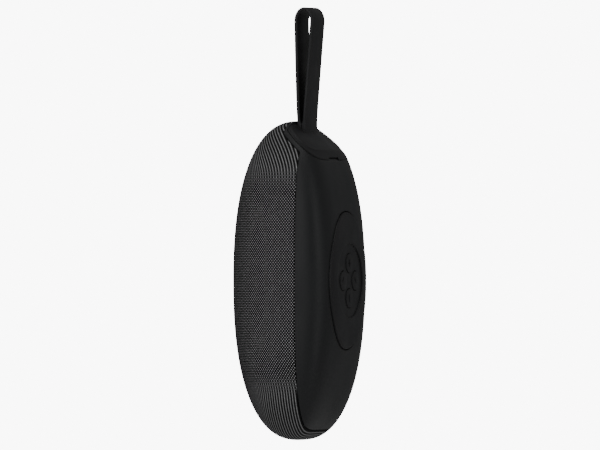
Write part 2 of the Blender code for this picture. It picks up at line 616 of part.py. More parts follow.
def make_surround(name, outer, inner, back, centre):
    """Half-roll rubber edge that bulges forward of the flange."""
    middle = (outer + inner) / 2
    reach = (outer - inner) / 2
    steps = 5
    roll = [(middle + reach * math.cos(math.pi * step / steps),
             back - SURROUND_HEIGHT * math.sin(math.pi * step / steps))
            for step in range(steps + 1)]
    thin = reach - SURROUND_WALL
    under = [(middle + thin * math.cos(math.pi * step / steps),
              back - (SURROUND_HEIGHT - SURROUND_WALL) * math.sin(math.pi * step / steps))
             for step in range(steps, -1, -1)]
    return add_object(name, turned(roll + under), "rubber_black", centre)


def make_frame_screws(prefix, middle_z, ring, head_back):
    """Small screws from the front, through a frame's flange into the baffle."""
    profile = screw_profile(FRAME_SCREW_HEAD_RADIUS, FRAME_SCREW_HEAD_HEIGHT,
                            FRAME_SCREW_SHAFT_RADIUS, FRAME_SCREW_LENGTH,
                            FRAME_SCREW_SHAFT_RADIUS, FRAME_SCREW_HEAD_HEIGHT / 2)
    facing_front = [(radius, -y) for radius, y in profile]
    top = head_back - GAP - FRAME_SCREW_HEAD_HEIGHT
    for number, (x, z) in enumerate(frame_screw_places(middle_z, ring, math.pi / 4), 1):
        add_object(f"{prefix}_{number}", turned(facing_front, sides=12), "steel", (x, top, z))


def make_radiator():
    """Passive radiator: a weighted plate on a rubber roll in its own frame."""
    face = BAFFLE_FRONT_Y - GAP
    front = face - RADIATOR_FRAME_THICKNESS
    centre = (0, 0, RADIATOR_Z)
    frame = add_object("radiator_frame", turned([
        (RADIATOR_RADIUS, front), (RADIATOR_RADIUS, face),
        (RADIATOR_THROAT_RADIUS, face), (RADIATOR_THROAT_RADIUS, front)]), "frame_black", centre)
    for number, (x, z) in enumerate(frame_screw_places(0, RADIATOR_SCREW_RING, math.pi / 4), 1):
        boolean(frame, add_object(f"tool_radiator_hole_{number}", rod(
            FRAME_SCREW_SHAFT_RADIUS + GAP, CASE_WIDTH, (x, 0, z + RADIATOR_Z), sides=12)))
    make_surround("radiator_surround", RADIATOR_THROAT_RADIUS - GAP,
                  RADIATOR_PLATE_RADIUS + GAP, front + RADIATOR_PLATE_THICKNESS, centre)
    plate_front = front
    plate_back = plate_front + RADIATOR_PLATE_THICKNESS
    weight_back = plate_back + RADIATOR_WEIGHT_THICKNESS
    add_object("radiator_plate", turned([
        (0, plate_front), (RADIATOR_PLATE_RADIUS, plate_front),
        (RADIATOR_PLATE_RADIUS, plate_back), (RADIATOR_WEIGHT_RADIUS, plate_back),
        (RADIATOR_WEIGHT_RADIUS, weight_back), (0, weight_back)]), "magnet_grey", centre)
    make_frame_screws("radiator_screw", RADIATOR_Z, RADIATOR_SCREW_RING, front)


# ---------------------------------------------------------------- keypad
def make_keypad_pad():
    """Silicone oval let into the back, with a round recess and four key openings."""
    pad = add_object("keypad_pad", oval(PAD_WIDTH, PAD_HEIGHT), "silicone_black")
    boolean(pad, add_object("tool_pad_outside", case_solid(-PAD_PROUD)), "INTERSECT")
    boolean(pad, add_object("tool_pad_inside", case_solid(PAD_INSET)))
    boolean(pad, add_object("tool_key_recess", rod(
        KEY_RECESS_RADIUS, BACK_DEPTH, (0, RECESS_FLOOR_Y + BACK_DEPTH / 2, 0), sides=40)))
    for name, (x, z) in key_places().items():
        boolean(pad, add_object(f"tool_pad_hole_{name}", rod(
            KEY_RADIUS + GAP, BACK_DEPTH, (x, BACK_DEPTH, z))))
    return pad


def make_keys():
    """Each key is a round cap and stem; it pushes the plunger of the switch behind it."""
    for name, (x, z) in key_places().items():
        edge = KEY_RADIUS - GAP
        add_object(f"key_{name}", turned([
            (0, KEY_TOP_Y), (edge, KEY_TOP_Y), (KEY_RADIUS, KEY_TOP_Y - GAP),
            (KEY_RADIUS, KEY_TOP_Y - KEY_CAP_THICKNESS),
            (KEY_STEM_RADIUS, KEY_TOP_Y - KEY_CAP_THICKNESS),
            (KEY_STEM_RADIUS, KEY_STEM_END_Y), (0, KEY_STEM_END_Y)], sides=24),
            "silicone_black", (x, 0, z))
        body = add_object(f"switch_body_{name}", box(
            (SWITCH_SIZE, SWITCH_HEIGHT, SWITCH_SIZE), (0, SWITCH_TOP_Y - SWITCH_HEIGHT / 2, 0)),
            "frame_black", (x, 0, z))
        hole_depth = PLUNGER_SUNK + KEY_TRAVEL + GAP / 2
        hole = rod(PLUNGER_RADIUS + GAP, 2 * hole_depth, (x, SWITCH_TOP_Y, z), sides=16)
        boolean(body, add_object(f"tool_switch_hole_{name}", hole))
        add_object(f"switch_plunger_{name}", rod(
            PLUNGER_RADIUS, PLUNGER_LENGTH, (0, PLUNGER_TOP_Y - PLUNGER_LENGTH / 2, 0), sides=16),
            "steel", (x, 0, z))
    add_object("keypad_board", rod(KEY_BOARD_RADIUS, BOARD_THICKNESS, (
        0, KEY_BOARD_TOP_Y - BOARD_THICKNESS / 2, 0), sides=32), "board_green")


# ---------------------------------------------------------------- cap, flap and port
def make_cap_base():
    """Fixed front part of the silicone cap, with the strap's stem and its anchor tab."""
    height = CAP_TOP - CAP_SEAT - GAP / 2
    length = CASE_HEIGHT
    down = FLAP_HINGE_V - GAP / 2 - length / 2
    base = add_object("cap_base", cap_box(
        CASE_WIDTH, length, height, down, CAP_TOP - height / 2), "silicone_black")
    boolean(base, add_object("tool_cap_form", case_solid(0.0)), "INTERSECT")
    boolean(base, add_object("tool_base_front", box(
        (length, length, 2 * length), (0, CAP_FRONT_Y + GAP / 2 - length / 2, 0))))
    sink = CAP_TOP - CAP_SEAT - GAP
    stem_floor = (CAP_TOP - sink / 2 - STRAP_ROOT_Y * math.sin(CAP_TILT)) / math.cos(CAP_TILT)
    stem_height = STRAP_ROOT_Z - stem_floor - STRAP_ROOT_DEPTH / 2
    boolean(base, add_object("tool_strap_stem", box(
        (STRAP_WIDTH, STRAP_ROOT_DEPTH, stem_height),
        (0, STRAP_ROOT_Y, stem_floor + stem_height / 2))), "UNION")
    boolean(base, add_object("tool_strap_trough", rod(
        STRAP_ROOT_DEPTH / 2 + GAP, CASE_WIDTH, (0, STRAP_ROOT_Y, STRAP_ROOT_Z), "X", 24)))
    tab_top = CAP_SEAT + sink / 2
    boolean(base, add_object("tool_anchor_tab", cap_box(
        ANCHOR_TAB_WIDTH, ANCHOR_TAB_THICKNESS, ANCHOR_TAB_LENGTH, ANCHOR_TAB_V,
        tab_top - ANCHOR_TAB_LENGTH / 2)), "UNION")
    pin_place = cap_point(0, ANCHOR_TAB_V, CAP_SEAT - ANCHOR_PIN_DROP)
    boolean(base, add_object("tool_anchor_eye", rod(
        ANCHOR_PIN_RADIUS + GAP / 2, CASE_WIDTH, pin_place, "X", 16)))
    add_object("anchor_pin", rod(ANCHOR_PIN_RADIUS, ANCHOR_PIN_LENGTH, axis="X", sides=16),
               "steel", pin_place)


def make_port_flap():
    """Rear part of the cap; it lifts about its front edge and plugs the port bay."""
    hinge = cap_point(0, FLAP_HINGE_V, CAP_TOP)
    height = CAP_TOP - CAP_SEAT - GAP / 2
    middle = FLAP_HINGE_V + GAP / 2 + FLAP_LENGTH / 2
    shape = cap_box(CASE_WIDTH, FLAP_LENGTH, height, middle, CAP_TOP - height / 2)
    bmesh.ops.translate(shape, vec=-hinge, verts=shape.verts)
    flap = add_object("port_flap", shape, "silicone_black", hinge)
    boolean(flap, add_object("tool_flap_form", case_solid(0.0)), "INTERSECT")
    near = FLAP_HINGE_V + BAY_HINGE_DISTANCE + GAP
    far = near + BAY_LENGTH - 2 * GAP
    root = CAP_SEAT + GAP
    tip = CAP_SEAT - PLUG_RIB_DEPTH
    outline = [(near, root), (far, root), (far - PLUG_RIB_TAPER, tip), (near, tip)]
    places = [cap_point(0, down, out) for down, out in outline]
    rib = add_object("tool_plug_rib", prism([(place.y, place.z) for place in places],
                                            BAY_WIDTH - 2 * GAP))
    boolean(flap, rib, "UNION")
    edge_v = nail_edge_v()
    boolean(flap, add_object("tool_nail_slot", cap_box(
        NAIL_SLOT_WIDTH, 2 * NAIL_SLOT_DEPTH, NAIL_SLOT_HEIGHT + GAP, edge_v,
        CAP_SEAT + NAIL_SLOT_HEIGHT / 2)))
    return flap


def nail_edge_v():
    """Where the seat plane runs out through the back of the case, down the slope."""
    low, high = FLAP_HINGE_V, 0.0
    for _ in range(40):
        middle = (low + high) / 2
        place = cap_point(0, middle, CAP_SEAT)
        depth = BACK_DEPTH * superellipse(place.z / (CASE_HEIGHT / 2), BACK_PROFILE_EXPONENT)
        if place.y < depth:
            low = middle
        else:
            high = middle
    return low


def make_port():
    """Charging socket on its small upright board, with the microphone beside it."""
    socket = add_object("usb_socket", cap_box(
        USB_WIDTH, USB_HEIGHT, USB_LENGTH, BAY_MIDDLE_V, USB_MOUTH_OUT - USB_LENGTH / 2), "steel")
    walls = 2 * USB_MOUTH_WALL
    boolean(socket, add_object("tool_usb_mouth", cap_box(
        USB_WIDTH - walls, USB_HEIGHT - walls, 2 * (USB_LENGTH - walls), BAY_MIDDLE_V,
        USB_MOUTH_OUT)))
    board_v = BAY_MIDDLE_V + USB_HEIGHT / 2 + GAP + BOARD_THICKNESS / 2
    board_top = BAY_FLOOR_OUT - BAY_WALL - GAP
    add_object("port_board", cap_box(
        PORT_BOARD_WIDTH, BOARD_THICKNESS, PORT_BOARD_LENGTH, board_v,
        board_top - PORT_BOARD_LENGTH / 2), "board_green")
    microphone_v = board_v - BOARD_THICKNESS / 2 - GAP - MICROPHONE_HEIGHT / 2
    shape = cap_box(MICROPHONE_SIZE, MICROPHONE_HEIGHT, MICROPHONE_SIZE, microphone_v,
                    board_top - MICROPHONE_SIZE)
    bmesh.ops.translate(shape, vec=(MICROPHONE_X + MICROPHONE_SIZE / 2, 0, 0), verts=shape.verts)
    add_object("microphone", shape, "steel")


# ---------------------------------------------------------------- strap
def strap_sides():
    """Front and back faces of the strap from root to loop: (height, middle, half depth)."""
    loop_radius = STRAP_TOP_DEPTH / 2
    loop_z = STRAP_TOP_Z - loop_radius
    for step in range(STRAP_SIDE_POINTS + 1):
        share = step / STRAP_SIDE_POINTS
        z = STRAP_ROOT_Z + (loop_z - STRAP_ROOT_Z) * share
        middle = STRAP_ROOT_Y + (STRAP_TOP_Y - STRAP_ROOT_Y) * share
        half = STRAP_ROOT_DEPTH / 2 + (loop_radius - STRAP_ROOT_DEPTH / 2) * share
        yield z, middle, half


def make_strap():
    """Flat silicone band folded into a long loop; it flexes just above the cap."""
    loop_radius = STRAP_TOP_DEPTH / 2
    loop_z = STRAP_TOP_Z - loop_radius
    root_radius = STRAP_ROOT_DEPTH / 2

    def arc(radius, middle_y, middle_z, start, end, facets):
        reach = radius / math.cos(math.pi / facets / 2)
        for step in range(facets):
            angle = start + (end - start) * (step + 0.5) / facets
            yield middle_y + reach * math.cos(angle), middle_z + reach * math.sin(angle)

    sides = list(strap_sides())
    outer = [(middle + half, z) for z, middle, half in sides]
    outer += list(arc(loop_radius, STRAP_TOP_Y, loop_z, 0, math.pi, STRAP_ARC_FACETS + 1))
    outer += [(middle - half, z) for z, middle, half in reversed(sides)]
    outer += [(STRAP_ROOT_Y + root_radius * math.cos(math.pi * (1 + step / 8)),
               STRAP_ROOT_Z + root_radius * math.sin(math.pi * (1 + step / 8)))
              for step in range(1, 8)]
    slit = [(z, middle, half - STRAP_THICKNESS) for z, middle, half in sides
            if z > STRAP_ROOT_Z + STRAP_SLIT_START]
    inner = [(STRAP_ROOT_Y, STRAP_ROOT_Z + STRAP_SLIT_START)]
    inner += [(middle + half, z) for z, middle, half in slit]
    inner += list(arc(loop_radius - STRAP_THICKNESS, STRAP_TOP_Y, loop_z, 0, math.pi,
                      STRAP_ARC_FACETS + 1))
    inner += [(middle - half, z) for z, middle, half in reversed(slit)]
    shape = prism([(y - STRAP_ROOT_Y, z - STRAP_ROOT_Z) for y, z in outer], STRAP_WIDTH)
    strap = add_object("strap", shape, "silicone_black", (0, STRAP_ROOT_Y, STRAP_ROOT_Z))
    boolean(strap, add_object("tool_strap_opening", prism(inner, 2 * STRAP_WIDTH)))
    return strap


# ---------------------------------------------------------------- battery and board
def make_battery():
    """Pouch cell in a tray, with the amplifier and radio board behind it."""
    shape = box((BATTERY_WIDTH, BATTERY_THICKNESS, BATTERY_HEIGHT))
    bmesh.ops.bevel(shape, geom=shape.edges, offset=BATTERY_ROUND, segments=2, profile=0.5,
                    affect="EDGES")
    add_object("battery_cell", shape, "battery_wrap", (0, BATTERY_Y, BATTERY_Z))
    tray_back = BATTERY_Y - BATTERY_THICKNESS / 2 - GAP
    width = BATTERY_WIDTH + 2 * (GAP + TRAY_WALL)
    height = BATTERY_HEIGHT + 2 * (GAP + TRAY_WALL)
    depth = TRAY_WALL + TRAY_LIP
    tray = add_object("battery_tray", box(
        (width, depth, height), (0, tray_back - TRAY_WALL + depth / 2, BATTERY_Z)), "frame_black")
    boolean(tray, add_object("tool_tray_inside", box(
        (BATTERY_WIDTH + 2 * GAP, 2 * TRAY_LIP, BATTERY_HEIGHT + 2 * GAP),
        (0, tray_back + TRAY_LIP, BATTERY_Z))))
    add_object("main_board", box(
        (BOARD_WIDTH, BOARD_THICKNESS, BOARD_HEIGHT), (0, BOARD_Y, BOARD_Z)), "board_green")


clear_scene()
CASE = bpy.data.objects.new("case_frame", None)
CASE.location = (0, -HANG_Y, -HANG_Z)
bpy.context.scene.collection.objects.link(CASE)
make_rear_shell()
make_fabric_cover()
make_front_basket()
make_seam_gasket()
make_baffle()
make_case_screws()
make_driver()
make_radiator()
make_keypad_pad()
make_keys()
make_cap_base()
make_port_flap()
make_port()
make_strap()
make_battery()
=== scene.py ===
import math
import bpy
from mathutils import Matrix, Vector


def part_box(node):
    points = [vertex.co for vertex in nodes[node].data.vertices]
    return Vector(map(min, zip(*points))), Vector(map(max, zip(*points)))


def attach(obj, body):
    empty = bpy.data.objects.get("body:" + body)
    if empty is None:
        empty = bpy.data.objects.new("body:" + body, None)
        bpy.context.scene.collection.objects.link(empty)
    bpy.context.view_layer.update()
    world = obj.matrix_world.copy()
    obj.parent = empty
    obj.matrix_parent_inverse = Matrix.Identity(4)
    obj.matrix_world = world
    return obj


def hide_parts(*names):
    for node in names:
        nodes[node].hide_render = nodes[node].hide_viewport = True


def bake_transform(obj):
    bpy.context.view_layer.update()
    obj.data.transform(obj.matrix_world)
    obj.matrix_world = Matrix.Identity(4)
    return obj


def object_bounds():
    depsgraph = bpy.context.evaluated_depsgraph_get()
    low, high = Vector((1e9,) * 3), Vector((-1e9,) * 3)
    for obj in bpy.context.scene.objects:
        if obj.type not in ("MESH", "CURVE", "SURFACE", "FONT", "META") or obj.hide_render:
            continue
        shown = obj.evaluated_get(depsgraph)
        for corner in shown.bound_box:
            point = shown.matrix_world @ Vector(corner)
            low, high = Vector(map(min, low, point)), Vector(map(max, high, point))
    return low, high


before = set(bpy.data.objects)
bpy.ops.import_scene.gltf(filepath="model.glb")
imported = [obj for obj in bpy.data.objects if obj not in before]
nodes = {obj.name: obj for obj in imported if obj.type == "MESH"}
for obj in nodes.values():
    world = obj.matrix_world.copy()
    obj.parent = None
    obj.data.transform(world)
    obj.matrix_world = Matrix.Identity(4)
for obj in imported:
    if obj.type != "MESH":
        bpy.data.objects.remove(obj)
bpy.context.view_layer.update()
cad_low, cad_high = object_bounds()

# ---------------------------------------------------------------- camera, floor and light
# The speaker hangs from its strap and is seen from its side, a little from behind, level with it.
# It hangs in a plain white studio: a pale floor well below, a lamp overhead and two at the sides.
MM = 0.001
CASE_HEIGHT = 150 * MM
CASE_WIDTH = 69 * MM
FRONT_DEPTH = 31 * MM
front_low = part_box("fabric_cover")[0]
CASE_MIDDLE = Vector((0, front_low.y + FRONT_DEPTH, front_low.z + CASE_HEIGHT / 2))

VIEW_AZIMUTH = math.radians(109.9)
VIEW_ELEVATION = math.radians(0.0)
VIEW_WIDTH = 282.0 * MM
VIEW_AIM = CASE_MIDDLE + Vector((0, 0, 26.1 * MM))
LENS = 900.0
SENSOR = 36.0

away = Vector((math.sin(VIEW_AZIMUTH) * math.cos(VIEW_ELEVATION),
               -math.cos(VIEW_AZIMUTH) * math.cos(VIEW_ELEVATION), math.sin(VIEW_ELEVATION)))
bpy.ops.object.camera_add(location=VIEW_AIM + away * VIEW_WIDTH * LENS / SENSOR)
camera = bpy.context.object
camera.data.lens = LENS
camera.data.sensor_width = SENSOR
camera.rotation_euler = (-away).to_track_quat("-Z", "Y").to_euler()
bpy.context.scene.camera = camera

FLOOR_DROP = 0.32
FLOOR_RADIUS = 2.6
FLOOR_SEEN = 5.0


def plain_paint(name, colour, roughness):
    paint = bpy.data.materials.new(name)
    paint.use_nodes = True
    shader = paint.node_tree.nodes["Principled BSDF"]
    shader.inputs["Base Color"].default_value = (*colour, 1.0)
    shader.inputs["Roughness"].default_value = roughness
    return paint


bpy.ops.mesh.primitive_circle_add(vertices=96, radius=FLOOR_RADIUS, fill_type="NGON",
                                  location=(0, 0, cad_low.z - FLOOR_DROP))
floor = bpy.context.object
floor.name = "studio_floor"
# The camera sees the floor as brightly lit as the walls; the speaker gets no light from that.
floor_paint = plain_paint("studio_floor_paint", (0.86, 0.86, 0.86), 0.8)
paint_nodes = floor_paint.node_tree.nodes
floor_seen = paint_nodes.new("ShaderNodeLightPath")
floor_level = paint_nodes.new("ShaderNodeMapRange")
floor_level.inputs["To Max"].default_value = FLOOR_SEEN
floor_paint.node_tree.links.new(floor_seen.outputs["Is Camera Ray"], floor_level.inputs["Value"])
floor_shader = paint_nodes["Principled BSDF"]
floor_paint.node_tree.links.new(floor_level.outputs["Result"], floor_shader.inputs["Emission Strength"])
floor_shader.inputs["Emission Color"].default_value = (1, 1, 1, 1)
floor.data.materials.append(floor_paint)

# Each lamp: place from the middle of the case, diameter in metres, power in watts.
LAMPS = {
    "lamp_overhead": ((0.25, 0.1, 0.9), 0.9, 4.5),
    "lamp_camera_side": ((1.2, -0.25, 0.3), 0.9, 7.0),
    "lamp_back_side": ((0.35, 1.2, 0.15), 0.9, 4.2),
}
for name, (place, size, power) in LAMPS.items():
    bpy.ops.object.light_add(type="AREA", location=CASE_MIDDLE + Vector(place))
    lamp = bpy.context.object
    lamp.name = name
    lamp.data.shape = "DISK"
    lamp.data.size = size
    lamp.data.energy = power
    lamp.rotation_euler = Vector(place).to_track_quat("Z", "Y").to_euler()

# The white walls look bright to the camera but light the speaker only faintly.
SURROUND_LIGHT = 0.24
SURROUND_SEEN = 9.0
world = bpy.data.worlds.new("white_studio")
bpy.context.scene.world = world
world.use_nodes = True
links = world.node_tree.links
backdrop = world.node_tree.nodes["Background"]
seen = world.node_tree.nodes.new("ShaderNodeLightPath")
level = world.node_tree.nodes.new("ShaderNodeMapRange")
level.inputs["To Min"].default_value = SURROUND_LIGHT
level.inputs["To Max"].default_value = SURROUND_SEEN
links.new(seen.outputs["Is Camera Ray"], level.inputs["Value"])
links.new(level.outputs["Result"], backdrop.inputs["Strength"])
backdrop.inputs["Color"].default_value = (1, 1, 1, 1)


# ---------------------------------------------------------------- battery and boards
# A pouch cell in a moulded tray sits low in the case, with the radio and amplifier board behind it.
# They are standard parts: shrink-wrapped cell, fibreglass boards with a green solder mask.
def grain_group():
    """Fine moulding grain and faint patches: two noises that shift colour, gloss and height."""
    group = bpy.data.node_groups.new("moulding_grain", "ShaderNodeTree")
    group.interface.new_socket("Tone", in_out="INPUT", socket_type="NodeSocketColor")
    group.interface.new_socket("Patch Tone", in_out="INPUT", socket_type="NodeSocketColor")
    for socket in ("Grain Scale", "Patch Scale", "Gloss Low", "Gloss High"):
        group.interface.new_socket(socket, in_out="INPUT", socket_type="NodeSocketFloat")
    group.interface.new_socket("Tone", in_out="OUTPUT", socket_type="NodeSocketColor")
    group.interface.new_socket("Roughness", in_out="OUTPUT", socket_type="NodeSocketFloat")
    group.interface.new_socket("Height", in_out="OUTPUT", socket_type="NodeSocketFloat")
    node = group.nodes.new
    link = group.links.new
    start, end = node("NodeGroupInput"), node("NodeGroupOutput")
    place = node("ShaderNodeTexCoord")
    grain, patch = node("ShaderNodeTexNoise"), node("ShaderNodeTexNoise")
    grain.inputs["Detail"].default_value = 2.0
    patch.inputs["Detail"].default_value = 4.0
    for noise, scale in ((grain, "Grain Scale"), (patch, "Patch Scale")):
        link(place.outputs["Object"], noise.inputs["Vector"])
        link(start.outputs[scale], noise.inputs["Scale"])
    mix = node("ShaderNodeMix")
    mix.data_type = "RGBA"
    link(patch.outputs["Fac"], mix.inputs["Factor"])
    link(start.outputs["Tone"], mix.inputs["A"])
    link(start.outputs["Patch Tone"], mix.inputs["B"])
    gloss = node("ShaderNodeMapRange")
    link(patch.outputs["Fac"], gloss.inputs["Value"])
    gloss.inputs["From Min"].default_value = 0.3
    gloss.inputs["From Max"].default_value = 0.7
    link(start.outputs["Gloss Low"], gloss.inputs["To Min"])
    link(start.outputs["Gloss High"], gloss.inputs["To Max"])
    link(mix.outputs["Result"], end.inputs["Tone"])
    link(gloss.outputs["Result"], end.inputs["Roughness"])
    link(grain.outputs["Fac"], end.inputs["Height"])
    return group


moulding_grain = grain_group()


def moulded(name, tone, patch_tone, gloss, grain_scale=2600, patch_scale=60, depth=0.02, metal=0.0):
    """A moulded or ground surface: the shared grain feeds colour, gloss and a shallow bump."""
    material = bpy.data.materials.new(name)
    material.use_nodes = True
    tree = material.node_tree
    shader = tree.nodes["Principled BSDF"]
    shader.inputs["Metallic"].default_value = metal
    shader.inputs["Specular IOR Level"].default_value = 0.5 if metal else 0.2
    grain = tree.nodes.new("ShaderNodeGroup")
    grain.node_tree = moulding_grain
    grain.inputs["Tone"].default_value = (*tone, 1)
    grain.inputs["Patch Tone"].default_value = (*patch_tone, 1)
    grain.inputs["Grain Scale"].default_value = grain_scale
    grain.inputs["Patch Scale"].default_value = patch_scale
    grain.inputs["Gloss Low"].default_value = gloss[0]
    grain.inputs["Gloss High"].default_value = gloss[1]
    bump = tree.nodes.new("ShaderNodeBump")
    bump.inputs["Strength"].default_value = 0.6
    bump.inputs["Distance"].default_value = depth * MM
    tree.links.new(grain.outputs["Tone"], shader.inputs["Base Color"])
    tree.links.new(grain.outputs["Roughness"], shader.inputs["Roughness"])
    tree.links.new(grain.outputs["Height"], bump.inputs["Height"])
    tree.links.new(bump.outputs["Normal"], shader.inputs["Normal"])
    return material


def dress(material, *names):
    """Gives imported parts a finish: every slot of each part takes the material."""
    for name in names:
        part = nodes[name]
        if not part.data.materials:
            part.data.materials.append(material)
        for slot in part.material_slots:
            slot.link = "OBJECT"
            slot.material = material


cell_wrap = moulded("cell_wrap", (0.16, 0.25, 0.36), (0.20, 0.30, 0.42), (0.28, 0.42), 900, 40)
board_mask = moulded("board_mask", (0.012, 0.10, 0.045), (0.03, 0.17, 0.08), (0.3, 0.45), 700, 380)
nylon_black = moulded("nylon_black", (0.016, 0.016, 0.017), (0.024, 0.024, 0.026), (0.5, 0.68))
dress(cell_wrap, "battery_cell")
dress(board_mask, "main_board", "keypad_board", "port_board")
dress(nylon_black, "battery_tray")

# ---------------------------------------------------------------- driver and passive radiator
# A 44 mm full-range driver above and a weighted passive radiator below, both screwed to the baffle.
# Pressed paper cone, moulded rubber rolls, sintered magnet, turned steel yoke and a copper coil.
paper_grey = moulded("paper_grey", (0.030, 0.030, 0.032), (0.050, 0.049, 0.047), (0.8, 0.95),
                     1500, 500, 0.06)
roll_rubber = moulded("roll_rubber", (0.010, 0.010, 0.010), (0.016, 0.016, 0.016), (0.55, 0.7))
ferrite = moulded("ferrite", (0.07, 0.07, 0.075), (0.12, 0.12, 0.125), (0.45, 0.6), 1800, 200)
turned_steel = moulded("turned_steel", (0.50, 0.50, 0.51), (0.60, 0.60, 0.60), (0.25, 0.38),
                       4000, 120, 0.01, 1.0)
coil_copper = moulded("coil_copper", (0.60, 0.28, 0.13), (0.75, 0.40, 0.22), (0.25, 0.4),
                      3500, 600, 0.03, 1.0)
dress(nylon_black, "driver_frame", "radiator_frame", "baffle", "front_basket")
dress(paper_grey, "driver_cone")
dress(roll_rubber, "driver_surround", "radiator_surround", "dust_cap", "seam_gasket")
dress(ferrite, "driver_magnet", "radiator_plate")
dress(coil_copper, "voice_coil")
dress(turned_steel, "driver_yoke", "anchor_pin", "usb_socket", "microphone",
      *[f"{group}_screw_{number}" for group in ("driver", "radiator", "case")
        for number in range(1, 5)])

# ---------------------------------------------------------------- fabric front
# A woven cover pulled over the slotted dome, its edge rolled in and held in the seam all round.
# Black cloth with pale picks in a diamond lattice; towards the ends they close up into fine ribs.
# Towards both ends of the case the pale picks also carry painted shade.
BACK_DEPTH = 24.8 * MM
WIDTH_EXPONENT = 3.2
FRONT_PROFILE_EXPONENT = 2.3
BACK_PROFILE_EXPONENT = 2.15
FRONT_SECTION_EXPONENT = 2.0
BACK_SECTION_EXPONENT = 4.8
SEAM_Y = 9.7 * MM
GAP = 0.3 * MM
CAP_TILT = math.radians(40.8)
CAP_SEAT_DEPTH = 2.8 * MM
COLLAR_WIDTH = 2.0 * MM
CAP_SEAT = CASE_HEIGHT / 2 * math.cos(CAP_TILT) - CAP_SEAT_DEPTH
CAP_OUT = Vector((0, math.sin(CAP_TILT), math.cos(CAP_TILT)))
COLLAR = CAP_SEAT - COLLAR_WIDTH
COLLAR_FRONT_Y = -0.4 * MM
FABRIC_THICKNESS = 0.8 * MM
FABRIC_ROLL = 0.6 * MM


def superellipse(share, exponent):
    """Half width of a rounded outline at a share of the way to its end, as a share of its widest."""
    return max(0.0, 1.0 - abs(share) ** exponent) ** (1.0 / exponent)


def case_form(name, inset, segments=160, rings=110):
    """A ball drawn out to the case's form, all of it lying inset below the outside."""
    bpy.ops.object.select_all(action="DESELECT")
    bpy.ops.mesh.primitive_uv_sphere_add(segments=segments, ring_count=rings, radius=1)
    form = bpy.context.object
    form.name = name
    for vert in form.data.vertices:
        level = max(-1.0, min(1.0, vert.co.z))
        angle = math.atan2(vert.co.y, vert.co.x)
        behind = vert.co.y > 0
        bend = BACK_SECTION_EXPONENT if behind else FRONT_SECTION_EXPONENT
        profile = BACK_PROFILE_EXPONENT if behind else FRONT_PROFILE_EXPONENT
        wide = (CASE_WIDTH / 2 - inset) * superellipse(level, WIDTH_EXPONENT)
        deep = ((BACK_DEPTH if behind else FRONT_DEPTH) - inset) * superellipse(level, profile)
        across, along = math.cos(angle), math.sin(angle)
        vert.co = Vector((math.copysign(abs(across) ** (2 / bend), across) * wide,
                          math.copysign(abs(along) ** (2 / bend), along) * deep,
                          level * (CASE_HEIGHT / 2 - inset)))
    return form


def edit(item):
    """Only this piece is selected, and all of its mesh is, in edit mode."""
    bpy.ops.object.select_all(action="DESELECT")
    bpy.context.view_layer.objects.active = item
    item.select_set(True)
    bpy.ops.object.mode_set(mode="EDIT")
    bpy.ops.mesh.select_all(action="SELECT")


def cut(item, place, out, drop=False, close=False):
    """Cuts along a plane; with drop, what lies beyond it goes, and close fills the opening."""
    edit(item)
    bpy.ops.mesh.bisect(plane_co=place, plane_no=out, clear_outer=drop, use_fill=close,
                        threshold=0.00001)
    bpy.ops.object.mode_set(mode="OBJECT")


def apply_modifier(item, kind, **settings):
    """Adds a modifier with these settings and applies it at once."""
    bpy.context.view_layer.objects.active = item
    modifier = item.modifiers.new(kind.lower(), kind)
    for key, value in settings.items():
        setattr(modifier, key, value)
    bpy.ops.object.modifier_apply(modifier=modifier.name)


def roll_edge(item, radius, *edges):
    """The surface turns in by a quarter circle over the last stretch before its edge planes."""
    for place, out in edges:
        for share in (0.04, 0.15, 0.33, 0.6, 1.0):
            cut(item, place - out * radius * share, out)
    moves = []
    for vert in item.data.vertices:
        left = radius - max((place - vert.co).dot(out) for place, out in edges)
        if 0 < left <= radius * 1.001:
            moves.append((vert, -vert.normal * (radius - math.sqrt(max(0, radius ** 2 - left ** 2)))))
    for vert, move in moves:
        vert.co += move


def smooth(item, angle=35):
    """Smooth shading, with edges sharper than the angle in degrees kept crisp."""
    bpy.ops.object.select_all(action="DESELECT")
    item.select_set(True)
    bpy.context.view_layer.objects.active = item
    bpy.ops.object.shade_smooth_by_angle(angle=math.radians(angle))


def hang(item, name, material):
    """A finished piece takes its name and finish and is carried to where the case hangs."""
    item.name = name
    item.data.name = name
    item.data.transform(item.matrix_world)
    item.matrix_world = Matrix.Identity(4)
    item.data.transform(Matrix.Translation(CASE_MIDDLE))
    item.data.materials.clear()
    item.data.materials.append(material)


def delete_faces(item, test):
    """Deletes the faces whose middles pass the test."""
    edit(item)
    bpy.ops.mesh.select_all(action="DESELECT")
    bpy.ops.object.mode_set(mode="OBJECT")
    for face in item.data.polygons:
        face.select = test(face.center)
    bpy.ops.object.mode_set(mode="EDIT")
    bpy.ops.mesh.select_mode(type="FACE")
    bpy.ops.mesh.delete(type="FACE")
    bpy.ops.object.mode_set(mode="OBJECT")


BACKWARD = Vector((0, 1, 0))
seam_place = Vector((0, SEAM_Y - GAP / 2, 0))
collar_place = CAP_OUT * (COLLAR - GAP / 2)
crossing_place = Vector((0, COLLAR_FRONT_Y - GAP / 2, 0))
fabric = case_form("fabric", 0.0, 192, 150)
cut(fabric, seam_place, BACKWARD, drop=True)
cut(fabric, collar_place, CAP_OUT)
cut(fabric, crossing_place, BACKWARD)
delete_faces(fabric, lambda middle: middle.y > crossing_place.y
             and middle.dot(CAP_OUT) > collar_place.length)
roll_edge(fabric, FABRIC_ROLL, (seam_place, BACKWARD))
roll_edge(fabric, FABRIC_ROLL, (collar_place, CAP_OUT), (crossing_place, BACKWARD))

